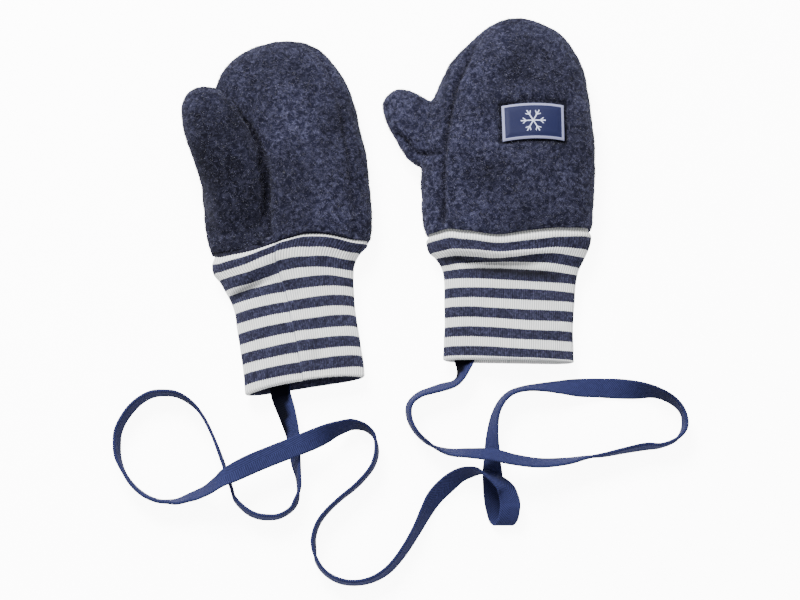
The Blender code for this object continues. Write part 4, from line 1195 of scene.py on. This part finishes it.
def rib_tube(side, table):
    """The doubled rib tube. Its parameter runs 0 to 1 down the outside and 1 to 2 up the inside."""
    turns, around = even_turns(table, 4 * RIBS[side])
    outside = np.concatenate([np.linspace(-0.04, 0.985, 110), [0.992, 0.997, 1.0]])
    down = np.concatenate([outside, 2.0 - np.linspace(0.992, 0.0, 34)])
    share = np.where(down <= 1.0, down, 2.0 - down)[:, None]
    inner = smoothstep((down - 0.985) / 0.022)[:, None]
    angle = np.radians(turns)
    top = smoothstep(np.sin(angle) * 1.6)[None, :]
    across = signed_power(np.cos(angle), PLAN_POWER)[None, :]
    upper = smoothstep((np.sin(angle) + 0.5) / 0.4)[None, :]
    seen = share + upper * (come_down(side, share[:, 0], across[0]) - share)
    outer_side, inner_side, length = two_sides(table, turns, seen)
    points = outer_side + inner[..., None] * (inner_side - outer_side)
    # the joint's own wave fades out down the cuff
    ring = form(table, turns, np.array([0.0]))[0]
    points[..., 1] += (joint_line(side, ring) - ring[:, 1])[None, :] * bell(np.maximum(share, 0.0), 0.20)
    points[..., 2] += top * soft_folds(side, share, across)
    # outward normals, from the ways round and down, turned away from the middle of their ring
    normal = unit(np.cross(unit(np.gradient(points, axis=1)), unit(np.gradient(points, axis=0))))
    from_middle = (points - points.mean(axis=1, keepdims=True)) * [1.0, 0.0, 1.0]
    normal *= np.sign(np.sum(normal * from_middle, axis=-1, keepdims=True))
    wobble = wool_layers(points.reshape(-1, 3), WOBBLE).reshape(points.shape[:2])
    wobble = wobble * smoothstep((points[..., 2] - 0.3) / 2.0)
    begun = smoothstep(share / 0.05)
    tucked = TUCK * (1.0 - smoothstep((share + 0.004) / 0.046))
    rib, half = np.arange(len(turns)) / 4.0, len(turns) // 2
    seam = [RIBS[side] * 0.75] * 2
    if SEAM_ACROSS[side]:
        seam = [float(np.interp(-a, -across[0, :half], rib[:half])) for a in SEAM_ACROSS[side]]
        off = rib[None, :] - (seam[0] + (seam[1] - seam[0]) * share)
        points[..., 2] -= SEAM_DIP * (1.0 - inner) * begun * bell(off, 0.7)
    wale = np.cos(np.arange(len(turns)) * np.pi / 2.0)[None, :]
    relief = WALE_RISE * wale * begun * (1.0 - 0.6 * inner) + (wobble * begun - tucked) * (1 - inner)
    points += normal * relief[..., None]
    points[..., 2] = np.maximum(points[..., 2], 0.5 * RIB * inner)
    u, v = np.arange(len(turns) + 1) / 4.0, np.append(down, 2.03)
    uv = np.stack(np.broadcast_arrays(u[None, :], v[:, None]), -1)
    made = grid_object(f"{side}_rib_cuff", points, uv, wrap_rows=True, wrap_columns=True)
    # painted shade: darker in the folds of the upper side, and on the inner side away from the hem
    shade = 1.0 - (1.0 - fold_shade(side, share, across)) * top * (1.0 - inner)
    write_shade(made, shade * (1.0 - 0.55 * inner * smoothstep((0.97 - share) / 0.06)))
    print(f"{side} cuff: {around:.0f} mm round, {length:.0f} mm long, seam at rib {seam[0]:.1f} at the joint")
    return made, seam


left_rib, left_seam = rib_tube("left", LEFT_CUFF)
right_rib, right_seam = rib_tube("right", RIGHT_CUFF)

# %% [markdown]
# ## Rib material
# The stripes are a property of the cloth, so they follow its own length in the UV map: seven navy bands of
# heather yarn on off-white. A band ends at a row of stitches, and a plain and a purl rib end half a stitch
# apart, which gives the band its fine toothed edge. Fine rows of stitches and the ribs are in the bump, and
# the grooves between the ribs are painted darker as shade.

# %% Rib material
NAVY_SHARE = 0.545  # of a stripe's period
STRIPES = {  # where the first one begins, their period, and how far they slip at the seam
    "left": (0.0365, 0.1376, 0.005),
    "right": (0.0504, 0.1397, 0.0),
}
COURSES = 150.0  # rows of stitches in the length of a cuff


def rib_material(side, seam):
    """Stripes along the cloth; past the lengthwise seam they slip by a share of the length."""
    made, tree, shader = material(
        f"{side}_striped_rib", Roughness=0.9, Specular_IOR_Level=0.12, Sheen_Weight=0.05, Sheen_Roughness=0.5,
    )
    first, period, slip = STRIPES[side]
    u, v = cloth_place(tree)
    place = object_place(tree)
    wale = (u * TURN).math("COSINE")
    from_seam = u - v.math("MULTIPLY_ADD", seam[1] - seam[0], seam[0])
    past = (from_seam / float(RIBS[side])).math("FRACT")
    ragged = (noise(place, 900.0, 2.0) - 0.5) * 0.006
    toothed = v + past * slip + wale * 0.0016 + ragged
    phase = ((toothed - first) / period).math("FRACT")
    band = ramp(phase, 0.0, 0.03) * ramp(phase, NAVY_SHARE, NAVY_SHARE + 0.03, 1.0, 0.0) * (v > 0.5 * first)
    yarn, _ = heather_wool(
        place, Size=0.55, Dark=rgb(7, 7, 17), Ground=rgb(28, 28, 49), Fleck=rgb(98, 100, 134), Flecks=0.62,
    )
    # painted shade: the grooves between the ribs are drawn darker, in the white and in the navy
    groove = (1.0 - wale) * 0.5
    soft = ramp(noise(place, 260.0, 3.0), 0.3, 0.7)
    pale = blend(groove * 0.75, rgb(229, 230, 228), rgb(142, 144, 152))
    pale = blend(soft * 0.16, pale, rgb(150, 152, 150))
    dark = blend(groove * 0.30, yarn, rgb(12, 12, 26))
    seam_line = ramp(abs(from_seam), 0.12, 0.4, 0.4, 0.0)
    cloth = blend(seam_line, blend(band, pale, dark), rgb(60, 62, 84))
    courses = (v * (TURN * COURSES)).math("SINE")
    height = courses * 0.12 + wale * 0.25 + noise(place, 2600.0, 2.0) * 0.35
    dress(shader, shaded(cloth), height, 0.6, 0.0004)
    return made


for piece, side, seam, size in (
    (left_rib, "left", left_seam, (0.140, 0.074)), (right_rib, "right", right_seam, (0.148, 0.074)),
):
    piece.data.materials.append(rib_material(side, seam))
    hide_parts(f"{side}_cuff")
    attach(piece, "root")

# %% [markdown]
# ## The label
# The label is a small satin patch, navy with a pale woven frame. Its middle carries a plain six-armed
# snowflake, a traditional pattern of knitted mittens. The patch is a grid that follows the back of the hand,
# a little crowned between its sewn edges. A Solidify modifier gives it half a millimetre, and its UV map
# runs in millimetres.

# %% Label patch
def height_on(table, x, y):
    """The height of a form's upper side over a plan point, for rings whose sides are level in plan."""
    rows = np.linspace(0, len(table) - 1, 400)
    xl, yl, xr, yr, top, edge, _, _ = between_rows(table, rows).T
    rising = np.argmax(yl)
    at = np.interp(y, yl[:rising], rows[:rising])
    xl, xr, top, edge = (np.interp(at, rows, c) for c in (xl, xr, top, edge))
    share = np.abs((x - (xl + xr) / 2) / ((xr - xl) / 2)) ** (1.0 / PLAN_POWER)
    return edge + (top - edge) * np.sqrt(1.0 - share**2) ** RISE_POWER


LABEL_SIZE, LABEL_THICK = (31.0, 18.6), 0.5
s, t = np.meshgrid(np.linspace(0, 1, 125), np.linspace(0, 1, 76))
plan = label_plan(s, t)
rim = np.minimum(np.minimum(s, 1 - s) * LABEL_SIZE[0], np.minimum(t, 1 - t) * LABEL_SIZE[1])
crown = 0.55 * smoothstep(rim / 4.0) + 0.22 * bell(rim - 0.9, 0.5)
ripple = 0.25 * np.sin(s * 9.0 + 1.0) * smoothstep(rim / 3.0) * 0.4
top_z = height_on(RIGHT_HAND, plan[..., 0], plan[..., 1]) - 0.35 + crown + ripple
label_uv = np.stack([(s - 0.5) * LABEL_SIZE[0], (t - 0.5) * LABEL_SIZE[1]], -1)
label_patch = grid_object("woven_label", np.dstack([plan, top_z]), label_uv)
thicken(label_patch, LABEL_THICK * MM)

# %% Label material
label_finish, tree, shader = material("satin_label", Roughness=0.5, Specular_IOR_Level=0.10, Anisotropic=0.4)
x, y = cloth_place(tree)
from_rim = (LABEL_SIZE[0] / 2 - abs(x)).math("MINIMUM", LABEL_SIZE[1] / 2 - abs(y))
in_frame, on_stitches = from_rim < 1.3, abs(from_rim - 0.75) < 0.12
radius = (x * x + y * y).math("SQRT")
sixth = y.math("ARCTAN2", x).math("PINGPONG", np.pi / 6.0)
arm_x, arm_y = radius * sixth.math("COSINE"), radius * sixth.math("SINE")
arm = (arm_y < 0.28) * (arm_x < 6.2)
twig = (abs(arm_x - arm_y - 3.6) < 0.32) * (arm_y < 1.5)
flake = arm.math("MAXIMUM", twig)
thread_x, thread_y = (x * (TURN / 0.5)).math("SINE"), (y * (TURN / 0.34)).math("SINE")
navy = blend((thread_y + 1.0) * 0.5, rgb(16, 18, 41), rgb(28, 32, 65))
pale = blend((thread_x + 1.0) * 0.5, rgb(98, 100, 130), rgb(136, 138, 166))
cloth = blend(in_frame, blend(flake * 0.85, navy, rgb(190, 196, 222)), pale)
cloth = blend(on_stitches * 0.35, cloth, rgb(110, 112, 150))
dress(shader, cloth, thread_y * 0.2 + in_frame.math("MAXIMUM", flake) * 0.8, 0.4, 0.00025)
label_patch.data.materials.append(label_finish)
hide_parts("right_label")
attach(label_patch, "root")

# %% [markdown]
# ## Tape material
# The tape is a narrow matt twill of navy yarn. Its ribs run slantwise from the middle to both edges, like a
# fishbone. The twill is a slanted wave over the UV map, mirrored at the middle, in the colour and the bump.

# %% Tape material
tape_finish, tree, shader = material("twill_tape", Roughness=0.7, Specular_IOR_Level=0.03)
x, y = cloth_place(tree)
twill = ((abs(x) * 0.9 + y) * (TURN / 1.1)).math("SINE")
threads = (x * (TURN / 0.55)).math("SINE")
uneven = noise(object_place(tree), 700.0, 3.0)
cloth = blend((twill + 1.0) * 0.32 + uneven * 0.4, rgb(9, 10, 24), rgb(45, 49, 88))
dress(shader, shaded(cloth), twill * 0.5 + threads * 0.3 + uneven * 0.3, 0.5, 0.0003)
link_tape.data.materials.append(tape_finish)

# %% [markdown]
# ## Floor and light
# A pale floor and a wide soft light, as in a catalogue. The floor glows strongly for the camera alone, so it
# stays white and still throws little light on the cloth. The world gives an even pale light from all sides.
# A large area light beyond the fingertips models the wool, and a weak one in front opens the shadows.

# %% Floor
FLOOR_HALF, FLOOR_LOW = 1.6, -0.0002
corners = [(x * FLOOR_HALF, y * FLOOR_HALF, FLOOR_LOW) for x, y in ((-1, -1), (1, -1), (1, 1), (-1, 1))]
floor = bpy.data.objects.new("floor", bpy.data.meshes.new("floor"))
floor.data.from_pydata(corners, [], [(0, 1, 2, 3)])
bpy.context.scene.collection.objects.link(floor)
floor_finish, tree, shader = material(
    "pale_floor", Base_Color=(0.97, 0.97, 0.97, 1.0), Roughness=0.9, Specular_IOR_Level=0.1,
    Emission_Strength=9.0,
)
seen = wire(tree, "ShaderNodeLightPath", output="Is Camera Ray")
blend(seen, (0.12, 0.12, 0.12, 1.0), (1.0, 1.0, 1.0, 1.0)).join(shader.inputs["Emission Color"])
floor.data.materials.append(floor_finish)

# %% Light
world = bpy.data.worlds.new("studio")
world.use_nodes = True
world.node_tree.nodes["Background"].inputs["Color"].default_value = (1.0, 1.0, 1.0, 1.0)
world.node_tree.nodes["Background"].inputs["Strength"].default_value = 1.05
bpy.context.scene.world = world


def area_light(name, place, size, power):
    """A square area light that looks at the origin."""
    data = bpy.data.lights.new(name, "AREA")
    data.size, data.energy = size, power
    lamp = bpy.data.objects.new(name, data)
    lamp.location = place
    lamp.rotation_euler = (-Vector(place)).to_track_quat("-Z", "Y").to_euler()
    bpy.context.scene.collection.objects.link(lamp)


area_light("key", (-0.5, 1.1, 1.15), 0.7, 98.0)
area_light("front_fill", (-0.3, -0.9, 0.9), 1.2, 5.0)
